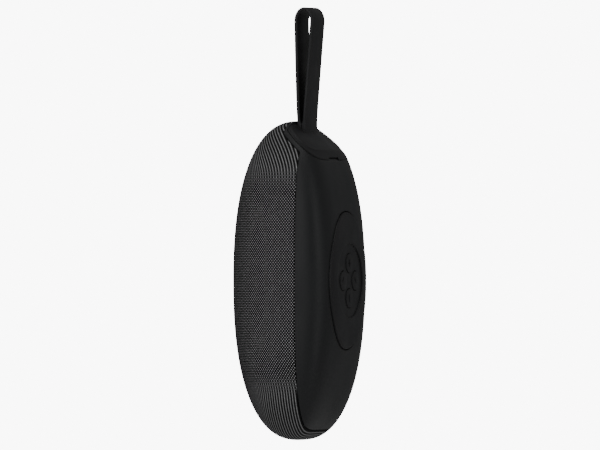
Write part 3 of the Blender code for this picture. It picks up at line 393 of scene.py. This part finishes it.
MEAN_RADIUS = (CASE_WIDTH / 2 + FRONT_DEPTH) / 2
CLOTH_RUN = SEAM_Y + MEAN_RADIUS * math.pi / 2
PICKS_ROUND = 47
PICKS_UP = 96
PICK_ROUND = CLOTH_RUN / PICKS_ROUND
PICK_UP = CASE_HEIGHT / PICKS_UP
RING_FRONT = -8 * MM
CORNER_ROUND = 16 * MM
THREAD_DRIFT = 2.2 * MM
DRIFT_FROM_Z = 54 * MM
DRIFT_TO_Z = 36 * MM
LINE_FRONT = -24 * MM


def eased(value, start, end):
    """0 at the start and 1 at the end, smooth between and steady beyond."""
    share = max(0.0, min(1.0, (value - start) / (end - start)))
    return share * share * (3 - 2 * share)


def ring_run(place):
    """Length of cloth from the seam to a place: by depth near the seam, by width at the front."""
    if place.y > 0:
        return SEAM_Y - place.y
    level = place.z / (CASE_HEIGHT / 2)
    half_width = max(1 * MM, CASE_WIDTH / 2 * superellipse(level, WIDTH_EXPONENT))
    by_depth = math.asin(min(1.0, -place.y / FRONT_DEPTH))
    by_width = math.acos(min(1.0, abs(place.x) / half_width))
    share = eased(place.y, RING_FRONT, LINE_FRONT)
    return SEAM_Y + MEAN_RADIUS * (by_depth * (1 - share) + by_width * share)


def cloth_run(place):
    """Threads keep step with the cloth's edge: along the seam, round the corner, along the collar."""
    from_seam = ring_run(place)
    from_collar = COLLAR - place.dot(CAP_OUT)
    rounding = max(0.0, CORNER_ROUND - abs(from_seam - from_collar)) ** 2 / (4 * CORNER_ROUND)
    drift = THREAD_DRIFT * eased(abs(place.z), DRIFT_FROM_Z, DRIFT_TO_Z)
    return min(from_seam, from_collar) - rounding - drift


weave = fabric.data.attributes.new("weave", "FLOAT_VECTOR", "POINT")
for vert, thread in zip(fabric.data.vertices, weave.data):
    run = cloth_run(vert.co)
    thread.vector = (run / PICK_ROUND, vert.co.z / PICK_UP, run / CLOTH_RUN)
apply_modifier(fabric, "SOLIDIFY", thickness=FABRIC_THICKNESS, offset=-1)
smooth(fabric, 50)


DARK_YARN = (0.002, 0.002, 0.002, 1)
PALE_YARN = (0.56, 0.56, 0.57, 1)
LATTICE_TO_Z = 42 * MM
RIBS_FROM_Z = 56 * MM
# Heights over which painted shade darkens the pale picks towards the ends of the case.
PAINTED_SHADE_FROM_Z = 30 * MM
PAINTED_SHADE_TO_Z = 66 * MM
PICK_RISE = 0.12 * MM


def cloth_material():
    """Pale picks where the round and upward waves agree; each pick also stands a little proud."""
    material = bpy.data.materials.new("speaker_cloth")
    material.use_nodes = True
    tree = material.node_tree
    node = tree.nodes.new
    link = tree.links.new
    shader = tree.nodes["Principled BSDF"]

    def maths(operation, first, second=None):
        step = node("ShaderNodeMath")
        step.operation = operation
        for socket, value in zip(step.inputs, (first, second)):
            if isinstance(value, (int, float)):
                socket.default_value = value
            elif value is not None:
                link(value, socket)
        return step.outputs[0]

    def ramp(value, low, high, first, last):
        step = node("ShaderNodeMapRange")
        step.interpolation_type = "SMOOTHSTEP"
        link(value, step.inputs["Value"])
        step.inputs["From Min"].default_value = low
        step.inputs["From Max"].default_value = high
        step.inputs["To Min"].default_value = first
        step.inputs["To Max"].default_value = last
        return step.outputs["Result"]

    weave = node("ShaderNodeAttribute")
    weave.attribute_name = "weave"
    parts = node("ShaderNodeSeparateXYZ")
    link(weave.outputs["Vector"], parts.inputs["Vector"])
    wobble = node("ShaderNodeTexNoise")
    wobble.inputs["Scale"].default_value = 60.0
    place = node("ShaderNodeTexCoord")
    link(place.outputs["Object"], wobble.inputs["Vector"])
    drift = maths("MULTIPLY", maths("SUBTRACT", wobble.outputs["Fac"], 0.5), 0.35)
    turns_round = maths("ADD", parts.outputs["X"], drift)
    turns_up = maths("ADD", parts.outputs["Y"], drift)
    wave_round = maths("COSINE", maths("MULTIPLY", turns_round, 2 * math.pi))
    wave_up = maths("COSINE", maths("MULTIPLY", turns_up, 2 * math.pi))
    height = maths("ABSOLUTE", parts.outputs["Y"])
    end_share = ramp(height, LATTICE_TO_Z / PICK_UP, RIBS_FROM_Z / PICK_UP, 0.0, 1.0)
    lattice = ramp(maths("MULTIPLY", wave_round, wave_up), 0.42, 1.0, 0.0, 1.0)
    ribs = ramp(wave_round, 0.0, 0.9, 0.0, 0.5)
    lattice_share = maths("SUBTRACT", 1.0, end_share)
    picks = maths("ADD", maths("MULTIPLY", lattice, lattice_share),
                  maths("MULTIPLY", ribs, end_share))
    fade = ramp(parts.outputs["Z"], 0.25, 0.8, 1.0, 0.26)
    fibre = node("ShaderNodeTexNoise")
    fibre.inputs["Scale"].default_value = 2200.0
    link(place.outputs["Object"], fibre.inputs["Vector"])
    fuzz = ramp(fibre.outputs["Fac"], 0.3, 0.7, 0.75, 1.15)
    # Painted shade: the pale picks are darkened in colour towards the top and bottom ends.
    end_painted_shade = ramp(height, PAINTED_SHADE_FROM_Z / PICK_UP, PAINTED_SHADE_TO_Z / PICK_UP, 1.0, 0.5)
    fade_and_painted_shade = maths("MULTIPLY", fade, end_painted_shade)
    brightness = maths("MULTIPLY", maths("MULTIPLY", picks, fade_and_painted_shade), fuzz)
    tone = node("ShaderNodeMix")
    tone.data_type = "RGBA"
    tone.inputs["A"].default_value = DARK_YARN
    tone.inputs["B"].default_value = PALE_YARN
    link(brightness, tone.inputs["Factor"])
    link(tone.outputs["Result"], shader.inputs["Base Color"])
    bump = node("ShaderNodeBump")
    bump.inputs["Strength"].default_value = 0.5
    bump.inputs["Distance"].default_value = PICK_RISE
    link(maths("ADD", picks, maths("MULTIPLY", fibre.outputs["Fac"], 0.3)), bump.inputs["Height"])
    link(bump.outputs["Normal"], shader.inputs["Normal"])
    shader.inputs["Roughness"].default_value = 0.9
    shader.inputs["Specular IOR Level"].default_value = 0.15
    return material


hang(fabric, "fabric_front", cloth_material())
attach(fabric, "casing")
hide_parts("fabric_cover")

# ---------------------------------------------------------------- rear shell
# One satin black moulding: the back of the case with a collar round the cap, an inclined cap seat,
# the charging bay, a shallow oval seat for the keypad and four bosses for the case screws.
SHELL_WALL = 2.6 * MM
SEAT_FLOOR = 2.8 * MM
SHELL_EDGE = 0.25 * MM
CAP_THICKNESS = 2.4 * MM
CAP_FRONT_Y = 1.0 * MM
CAP_TOP = CAP_SEAT + CAP_THICKNESS
STRAP_ROOT_Y = 3.2 * MM
STRAP_FOOT_V = (STRAP_ROOT_Y - CAP_TOP * math.sin(CAP_TILT)) / math.cos(CAP_TILT)
FLAP_HINGE_OFFSET = 4 * MM
HINGE_V = STRAP_FOOT_V + FLAP_HINGE_OFFSET
BAY_WIDTH = 23.4 * MM
BAY_LENGTH = 8.2 * MM
BAY_DEPTH = 5 * MM
BAY_WALL = 1.6 * MM
BAY_HINGE_DISTANCE = 3.5 * MM
BAY_MIDDLE_V = HINGE_V + BAY_HINGE_DISTANCE + BAY_LENGTH / 2
USB_WIDTH = 9 * MM
USB_HEIGHT = 3.2 * MM
TAB_WIDTH = 14 * MM
TAB_THICKNESS = 3 * MM
TAB_V = STRAP_FOOT_V + 1 * MM
PAD_HEIGHT = 65 * MM
PAD_WIDTH = 50.4 * MM
PAD_PROUD = 0.6 * MM
PAD_INSET = 0.9 * MM
KEY_RADIUS = 4.5 * MM
KEY_LAND = 2.7 * MM
KEY_PITCH_RADIUS = (2 * KEY_RADIUS + KEY_LAND) / math.sqrt(2)
SCREW_X = 21.5 * MM
SCREW_Z = 8 * MM
SCREW_HEAD_RADIUS = 2.4 * MM
SCREW_HEAD_DEPTH = 2.3 * MM
SCREW_HOLE_RADIUS = 1.5 * MM
BOSS_RADIUS = 4 * MM
BOSS_FRONT = 11.8 * MM


def cap_point(across, down, out):
    """A place in the cap's own directions: across, down its slope, and out from the middle."""
    return Vector((across, down * math.cos(CAP_TILT) + out * math.sin(CAP_TILT),
                   out * math.cos(CAP_TILT) - down * math.sin(CAP_TILT)))


def back_depth(x, z, inset=0.0):
    """Distance from the widest section back to the case's outside, or inset below it."""
    level = z / (CASE_HEIGHT / 2 - inset)
    wide = (CASE_WIDTH / 2 - inset) * superellipse(level, WIDTH_EXPONENT)
    deep = (BACK_DEPTH - inset) * superellipse(level, BACK_PROFILE_EXPONENT)
    return deep * superellipse(x / wide, BACK_SECTION_EXPONENT)


def block(size, place, lean=0.0):
    """A block about its middle; lean tips it into the cap's plane."""
    bpy.ops.object.select_all(action="DESELECT")
    bpy.ops.mesh.primitive_cube_add(size=1, location=place, rotation=(-lean, 0, 0), scale=size)
    return bpy.context.object


def disc(radius, length, place, sides=64, around="Y"):
    """A round bar about its middle, its axis along Y or X."""
    bpy.ops.object.select_all(action="DESELECT")
    turn = (math.pi / 2, 0, 0) if around == "Y" else (0, math.pi / 2, 0)
    bpy.ops.mesh.primitive_cylinder_add(vertices=sides, radius=radius, depth=length,
                                        location=place, rotation=turn)
    return bpy.context.object


def carve(item, tool, operation="DIFFERENCE"):
    """The tool cuts, joins or trims the piece and is then thrown away."""
    apply_modifier(item, "BOOLEAN", operation=operation, object=tool, solver="EXACT")
    bpy.data.objects.remove(tool, do_unlink=True)


def key_places():
    """Middle of each key, across and up."""
    return {"plus": (0.0, KEY_PITCH_RADIUS), "call": (-KEY_PITCH_RADIUS, 0.0),
            "minus": (0.0, -KEY_PITCH_RADIUS), "play": (KEY_PITCH_RADIUS, 0.0)}


FAR = 2 * CASE_HEIGHT       # larger than the case, for blocks that cut right across it
shell = case_form("shell", 0.0)
cap_space = block((FAR, FAR, FAR), cap_point(0, 0, CAP_SEAT - GAP / 2 + FAR / 2), CAP_TILT)
cut(cap_space, Vector((0, CAP_FRONT_Y - GAP / 2, 0)), -BACKWARD, drop=True, close=True)
carve(shell, cap_space)
carve(shell, block((FAR, FAR, FAR), (0, COLLAR_FRONT_Y + GAP / 2 - FAR / 2, 0)))
front_space = block((FAR, FAR, FAR), (0, SEAM_Y + GAP / 2 - FAR / 2, 0))
cut(front_space, CAP_OUT * (COLLAR + GAP / 2), CAP_OUT, drop=True, close=True)
carve(shell, front_space)
hollow = case_form("hollow", SHELL_WALL, 128, 96)
cut(hollow, CAP_OUT * (CAP_SEAT - SEAT_FLOOR), CAP_OUT, drop=True, close=True)
carve(shell, hollow)
bay_height = BAY_DEPTH + BAY_WALL - GAP
carve(shell, block((BAY_WIDTH + 2 * BAY_WALL, BAY_LENGTH + 2 * BAY_WALL, bay_height),
                   cap_point(0, BAY_MIDDLE_V, CAP_SEAT - BAY_DEPTH - BAY_WALL + bay_height / 2),
                   CAP_TILT), "UNION")
carve(shell, block((BAY_WIDTH, BAY_LENGTH, 2 * BAY_DEPTH), cap_point(0, BAY_MIDDLE_V, CAP_SEAT),
                   CAP_TILT))
carve(shell, block((USB_WIDTH + 2 * GAP, USB_HEIGHT + 2 * GAP, 4 * BAY_WALL),
                   cap_point(0, BAY_MIDDLE_V, CAP_SEAT - BAY_DEPTH), CAP_TILT))
carve(shell, block((TAB_WIDTH + 2 * GAP, TAB_THICKNESS + 2 * GAP, 4 * SEAT_FLOOR),
                   cap_point(0, TAB_V, CAP_SEAT), CAP_TILT))
screw_floor = back_depth(SCREW_X, SCREW_Z, PAD_INSET + GAP)
boss_length = screw_floor - 3 * GAP - BOSS_FRONT
for side in (1, -1):
    for end in (1, -1):
        x, z = side * SCREW_X, end * SCREW_Z
        carve(shell, disc(BOSS_RADIUS, boss_length, (x, BOSS_FRONT + boss_length / 2, z), 32),
              "UNION")
pad_seat = disc(0.5, CASE_WIDTH, (0, CASE_WIDTH / 2, 0), 128)
pad_seat.scale = (PAD_WIDTH + 2 * GAP, PAD_HEIGHT + 2 * GAP, 1)
carve(pad_seat, case_form("pad_floor", PAD_INSET + GAP, 128, 96))
carve(shell, pad_seat)
head_floor = screw_floor - SCREW_HEAD_DEPTH
for side in (1, -1):
    for end in (1, -1):
        x, z = side * SCREW_X, end * SCREW_Z
        carve(shell, disc(SCREW_HEAD_RADIUS + GAP, BACK_DEPTH,
                          (x, head_floor + BACK_DEPTH / 2, z), 32))
        carve(shell, disc(SCREW_HOLE_RADIUS, CASE_WIDTH, (x, BACK_DEPTH, z), 24))
for x, z in key_places().values():
    carve(shell, disc(KEY_RADIUS + 2 * GAP, BACK_DEPTH, (x, BACK_DEPTH, z), 48))
apply_modifier(shell, "BEVEL", width=SHELL_EDGE, segments=3, limit_method="ANGLE",
               angle_limit=math.radians(50), harden_normals=False)
smooth(shell)
shell_black = moulded("shell_black", (0.0070, 0.0072, 0.0078), (0.0088, 0.0091, 0.0098),
                      (0.46, 0.56), 2600, 45, 0.012)
hang(shell, "rear_case", shell_black)
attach(shell, "casing")
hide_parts("rear_shell")

# ---------------------------------------------------------------- keypad
# A silicone oval moulded to the curve of the back and stuck into its seat, with a round recess
# and four openings. The keys are separate: a round cap on a stem, each with a raised sign.
KEY_RECESS_RADIUS = 17.35 * MM
RECESS_FLOOR_Y = BACK_DEPTH - 0.35 * MM
KEY_TOP_Y = RECESS_FLOOR_Y + 0.4 * MM
PAD_ROLL = 0.4 * MM
PAD_GAP = 0.35 * MM
SIGN_RISE = 0.16 * MM


def formed_sheet(name, columns, rows, place):
    """A flat grid carried to a shape; where its sides meet they are joined, and it faces out."""
    bpy.ops.object.select_all(action="DESELECT")
    bpy.ops.mesh.primitive_grid_add(x_subdivisions=columns, y_subdivisions=rows, size=2)
    item = bpy.context.object
    item.name = name
    for vert in item.data.vertices:
        vert.co = place((vert.co.x + 1) / 2, (vert.co.y + 1) / 2)
    edit(item)
    bpy.ops.mesh.remove_doubles(threshold=0.002 * MM)
    bpy.ops.mesh.normals_make_consistent(inside=False)
    bpy.ops.object.mode_set(mode="OBJECT")
    return item


def quarter(radius, start, end, steps=4):
    """Places along an arc, angles in degrees, as (cosine, sine) times the radius."""
    for step in range(steps + 1):
        angle = math.radians(start + (end - start) * step / steps)
        yield radius * math.cos(angle), radius * math.sin(angle)


def lathed(name, profile, centre, sides=64):
    """A round piece about an axis along Y from its half section: (radius, y) pairs."""
    def place(around, along):
        radius, y = profile[round(along * (len(profile) - 1))]
        angle = 2 * math.pi * around
        return Vector((centre[0] + radius * math.cos(angle), y,
                       centre[1] + radius * math.sin(angle)))
    return formed_sheet(name, sides, len(profile) - 1, place)


def pad_rows():
    """Outline by outline from the middle of the underside, round the rim, to the recess floor.
    Each row is (half width, half height, inset below the case or None, y)."""
    half_width, half_height = PAD_WIDTH / 2 - PAD_GAP, PAD_HEIGHT / 2 - PAD_GAP
    rows = [(half_width * share, half_height * share, PAD_INSET, None)
            for share in (0, 0.25, 0.5, 0.75, 0.9, 1.0)]
    rows += [(half_width - PAD_ROLL + reach, half_height - PAD_ROLL + reach,
              -(PAD_PROUD - PAD_ROLL + rise), None)
             for reach, rise in quarter(PAD_ROLL, 0, 90)]
    ring = KEY_RECESS_RADIUS
    rim = [(reach, rise) for reach, rise in quarter(PAD_ROLL, 90, 180)]
    steps = 14
    for step in range(1, steps):
        share = step / steps
        rows.append(((half_width - PAD_ROLL) * (1 - share) + (ring + PAD_ROLL) * share,
                     (half_height - PAD_ROLL) * (1 - share) + (ring + PAD_ROLL) * share,
                     -PAD_PROUD, None))
    rows += [(ring + PAD_ROLL + reach, ring + PAD_ROLL + reach, PAD_ROLL - rise - PAD_PROUD, None)
             for reach, rise in rim[:-1]]
    rows += [(ring * share, ring * share, None, RECESS_FLOOR_Y)
             for share in (1.0, 0.8, 0.6, 0.4, 0.2, 0)]
    return rows


rows = pad_rows()


def pad_place(around, along):
    half_width, half_height, inset, y = rows[round(along * (len(rows) - 1))]
    angle = 2 * math.pi * around
    x, z = half_width * math.cos(angle), half_height * math.sin(angle)
    return Vector((x, back_depth(x, z, inset) if y is None else y, z))


pad = formed_sheet("pad", 160, len(rows) - 1, pad_place)
for x, z in key_places().values():
    carve(pad, disc(KEY_RADIUS + GAP, BACK_DEPTH, (x, BACK_DEPTH, z), 64))
smooth(pad, 40)
silicone = moulded("silicone_black", (0.0060, 0.0060, 0.0065), (0.0082, 0.0082, 0.0090),
                   (0.48, 0.60), 3000, 90, 0.01)
hang(pad, "keypad", silicone)
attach(pad, "casing")
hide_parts("keypad_pad")


def raise_sign(key, *parts):
    for part in parts:
        carve(key, part, "UNION")


def sign_bar(x, z, wide, high, turn=0.0):
    bar = block((wide, 2 * SIGN_RISE, high), (x, KEY_TOP_Y, z))
    bar.rotation_euler = (0, turn, 0)
    return bar


def sign_triangle(x, z, radius):
    part = disc(radius, 2 * SIGN_RISE, (x, KEY_TOP_Y, z), 3)
    part.rotation_euler = (math.pi / 2, 0, 0)
    return part


KEY_EDGE = 0.35 * MM
STEM_RADIUS = 1.8 * MM
KEY_CAP = 1.2 * MM
KEY_STEM = 1.6 * MM
LINE = 0.7 * MM
SIGN = 3.6 * MM
for name, (x, z) in key_places().items():
    crown = [(KEY_RADIUS - KEY_EDGE + reach, KEY_TOP_Y - KEY_EDGE + rise)
             for reach, rise in quarter(KEY_EDGE, 0, 90)]
    profile = [(0, KEY_TOP_Y - KEY_CAP - KEY_STEM), (STEM_RADIUS, KEY_TOP_Y - KEY_CAP - KEY_STEM),
               (STEM_RADIUS, KEY_TOP_Y - KEY_CAP), (KEY_RADIUS, KEY_TOP_Y - KEY_CAP)]
    key = lathed(name, profile + crown + [(0, KEY_TOP_Y)], (x, z))
    if name == "plus":
        raise_sign(key, sign_bar(x, z, SIGN, LINE), sign_bar(x, z, LINE, SIGN))
    elif name == "minus":
        raise_sign(key, sign_bar(x, z, LINE, SIGN))
    elif name == "play":
        raise_sign(key, sign_triangle(x, z, SIGN / 2))
    else:
        ends = 0.36 * SIGN
        raise_sign(key, sign_bar(x, z, SIGN * 0.6, LINE, math.radians(-45)),
                   disc(LINE * 0.8, 2 * SIGN_RISE, (x - ends * 0.7, KEY_TOP_Y, z - ends * 0.7), 24),
                   disc(LINE * 0.8, 2 * SIGN_RISE, (x + ends * 0.7, KEY_TOP_Y, z + ends * 0.7), 24))
    smooth(key)
    hang(key, f"key_cap_{name}", silicone)
    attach(key, f"key_{name}")
    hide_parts(f"key_{name}")
    dress(nylon_black, f"switch_body_{name}")
    dress(turned_steel, f"switch_plunger_{name}")

# ---------------------------------------------------------------- cap and port flap
# One silicone moulding on the inclined seat. Its front half is held by a tab and pin; behind a
# thin web it becomes the flap, whose rib plugs the charging bay and whose edge has a nail slot.
CAP_ROLL = 0.5 * MM
CROWN_RADIUS = 240 * MM
WEB = 0.8 * MM
GROOVE = 1.3 * MM
GROOVE_WIDTH = 38 * MM
CROWN_STEPS = 6
CROWN_STEP = 5 * MM
TAB_LENGTH = 8 * MM
TAB_TOP = 1.3 * MM
PIN_HOLE_RADIUS = 1.15 * MM
PIN_DROP = 5.4 * MM
NAIL_SLOT_RISE = 0.5 * MM
HINGE_ROWS = (-2.2, -1.2, -0.65, -0.4, -0.2, 0.0, 0.2, 0.4, 0.65, 1.2, 2.2)
RIB_DEPTH = 3.5 * MM
RIB_TAPER = 1.5 * MM
NAIL_SLOT = (13 * MM, 3.2 * MM, 1.4 * MM)
cap_height = CAP_THICKNESS - GAP / 2
nail_v = HINGE_V
while cap_point(0, nail_v, CAP_SEAT).y < back_depth(0, cap_point(0, nail_v, CAP_SEAT).z):
    nail_v += 0.1 * MM
cap = case_form("cap", 0.0, 192, 150)
cut(cap, CAP_OUT * (CAP_TOP - cap_height), -CAP_OUT, drop=True, close=True)
cut(cap, CAP_OUT * CAP_TOP, CAP_OUT, drop=True, close=True)
cut(cap, Vector((0, CAP_FRONT_Y + GAP / 2, 0)), -BACKWARD, drop=True, close=True)
edit(cap)
bpy.ops.mesh.select_all(action="DESELECT")
bpy.ops.object.mode_set(mode="OBJECT")
for edge in cap.data.edges:
    ends = [cap.data.vertices[index].co for index in edge.vertices]
    edge.select = all(abs(end.dot(CAP_OUT) - CAP_TOP) < 0.01 * MM for end in ends)
bpy.ops.object.mode_set(mode="EDIT")
bpy.ops.mesh.select_mode(type="EDGE")
bpy.ops.mesh.bevel(offset=CAP_ROLL, segments=4, profile=0.5, clamp_overlap=True)
bpy.ops.object.mode_set(mode="OBJECT")
for step in range(-CROWN_STEPS, CROWN_STEPS + 1):
    cut(cap, Vector((step * CROWN_STEP, 0, 0)), Vector((1, 0, 0)))
for vert in cap.data.vertices:
    height = vert.co.dot(CAP_OUT) - CAP_SEAT
    vert.co -= CAP_OUT * (vert.co.x ** 2 / (2 * CROWN_RADIUS) * eased(height, 0.0, CAP_THICKNESS))
carve(cap, block((TAB_WIDTH, TAB_THICKNESS, TAB_LENGTH),
                 cap_point(0, TAB_V, CAP_SEAT + TAB_TOP - TAB_LENGTH / 2), CAP_TILT), "UNION")
carve(cap, disc(PIN_HOLE_RADIUS, CASE_WIDTH, cap_point(0, TAB_V, CAP_SEAT - PIN_DROP), 24, "X"))
rib_near = HINGE_V + BAY_HINGE_DISTANCE + GAP
rib = block((BAY_WIDTH - 2 * GAP, BAY_LENGTH - 2 * GAP, RIB_DEPTH + 4 * GAP),
            cap_point(0, rib_near + BAY_LENGTH / 2 - GAP, CAP_SEAT + 2 * GAP - RIB_DEPTH / 2),
            CAP_TILT)
for vert in rib.data.vertices:
    if vert.co.y > 0 and vert.co.z < 0:
        vert.co.y -= RIB_TAPER
carve(cap, rib, "UNION")
groove_height = CAP_THICKNESS - WEB
carve(cap, block((GROOVE_WIDTH, GROOVE, 2 * groove_height),
                 cap_point(0, HINGE_V, CAP_SEAT), CAP_TILT))
carve(cap, block(NAIL_SLOT, cap_point(0, nail_v, CAP_SEAT + NAIL_SLOT_RISE), CAP_TILT))
for down in HINGE_ROWS:
    cut(cap, cap_point(0, HINGE_V + down * MM, 0), cap_point(0, 1, 0))
smooth(cap, 40)
hang(cap, "silicone_cap", silicone)
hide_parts("cap_base", "port_flap")
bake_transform(cap)

# ---------------------------------------------------------------- strap
# A flat silicone band with rounded edges, moulded with the cap and folded into a long loop.
# Its two strands join at the root, where it flexes, and stand apart above so a hook or finger fits.
STRAP_WIDTH = 16.8 * MM
STRAP_THICKNESS = 1.5 * MM
STRAP_FOOT_Z = 69.0 * MM
STRAP_MIDDLE_Y = 3.65 * MM
STRAP_ROOT_Z = 76 * MM
STRAP_ROOT_DEPTH = 4.3 * MM
STRAP_TOP_Y = 4.77 * MM
STRAP_TOP_Z = 128.4 * MM
LOOP_RADIUS = 4.73 * MM
LOOP_RISE = 6.6 * MM
JOINED_UP_TO = 75.6 * MM
PARTING = 2.5 * MM
STRAND_BOW = {-1: 0.65, 1: 1.05}
BAND_EDGE = 0.42 * MM
loop_z = STRAP_TOP_Z - LOOP_RISE
strand_length = loop_z - STRAP_FOOT_Z
band_length = 2 * strand_length + math.pi * LOOP_RADIUS


def band_face(run):
    """Outer face of the band at a run along it from the front foot: place and outward direction."""
    if strand_length < run < band_length - strand_length:
        angle = math.pi - (run - strand_length) / LOOP_RADIUS
        reach = Vector((0, LOOP_RADIUS * math.cos(angle), LOOP_RISE * math.sin(angle)))
        out = Vector((0, LOOP_RISE * math.cos(angle), LOOP_RADIUS * math.sin(angle)))
        return Vector((0, STRAP_TOP_Y, loop_z)) + reach, out.normalized()
    side = -1 if run <= strand_length else 1
    height = min(run, band_length - run)
    z = STRAP_FOOT_Z + height
    share = max(0.0, (z - STRAP_ROOT_Z) / (loop_z - STRAP_ROOT_Z)) ** STRAND_BOW[side]
    root = STRAP_MIDDLE_Y + side * STRAP_ROOT_DEPTH / 2
    top = STRAP_TOP_Y + side * LOOP_RADIUS
    return Vector((0, root + (top - root) * share, z)), Vector((0, side, 0))


def band_section(around, thickness):
    """Rounded flat section of the band: how far across, and how far below its outer face."""
    corners = [(1, 0, 90), (-1, 90, 180), (-1, 180, 270), (1, 270, 360)]
    steps = 5
    number = round(around * 4 * (steps + 1)) % (4 * (steps + 1))
    side, start, end = corners[number // (steps + 1)]
    angle = math.radians(start + (end - start) * (number % (steps + 1)) / steps)
    upper = number < 2 * (steps + 1)
    across = side * (STRAP_WIDTH / 2 - BAND_EDGE) + BAND_EDGE * math.cos(angle)
    middle = -BAND_EDGE if upper else BAND_EDGE - thickness
    return across, middle + BAND_EDGE * math.sin(angle)


def band_place(around, along):
    run = along * band_length
    place, out = band_face(run)
    joined = 1 - eased(place.z, JOINED_UP_TO - PARTING, JOINED_UP_TO)
    thickness = STRAP_THICKNESS + joined * (STRAP_ROOT_DEPTH / 2 - STRAP_THICKNESS)
    across, rise = band_section(around, thickness)
    return place + out * rise + Vector((across, 0, 0))


band = formed_sheet("band", 24, 150, band_place)
edit(band)
bpy.ops.mesh.select_all(action="DESELECT")
bpy.ops.mesh.select_mode(type="EDGE")
bpy.ops.mesh.select_non_manifold()
bpy.ops.mesh.edge_face_add()
bpy.ops.object.mode_set(mode="OBJECT")
smooth(band, 50)
hang(band, "hanging_strap", silicone)
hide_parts("strap")
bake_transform(band)
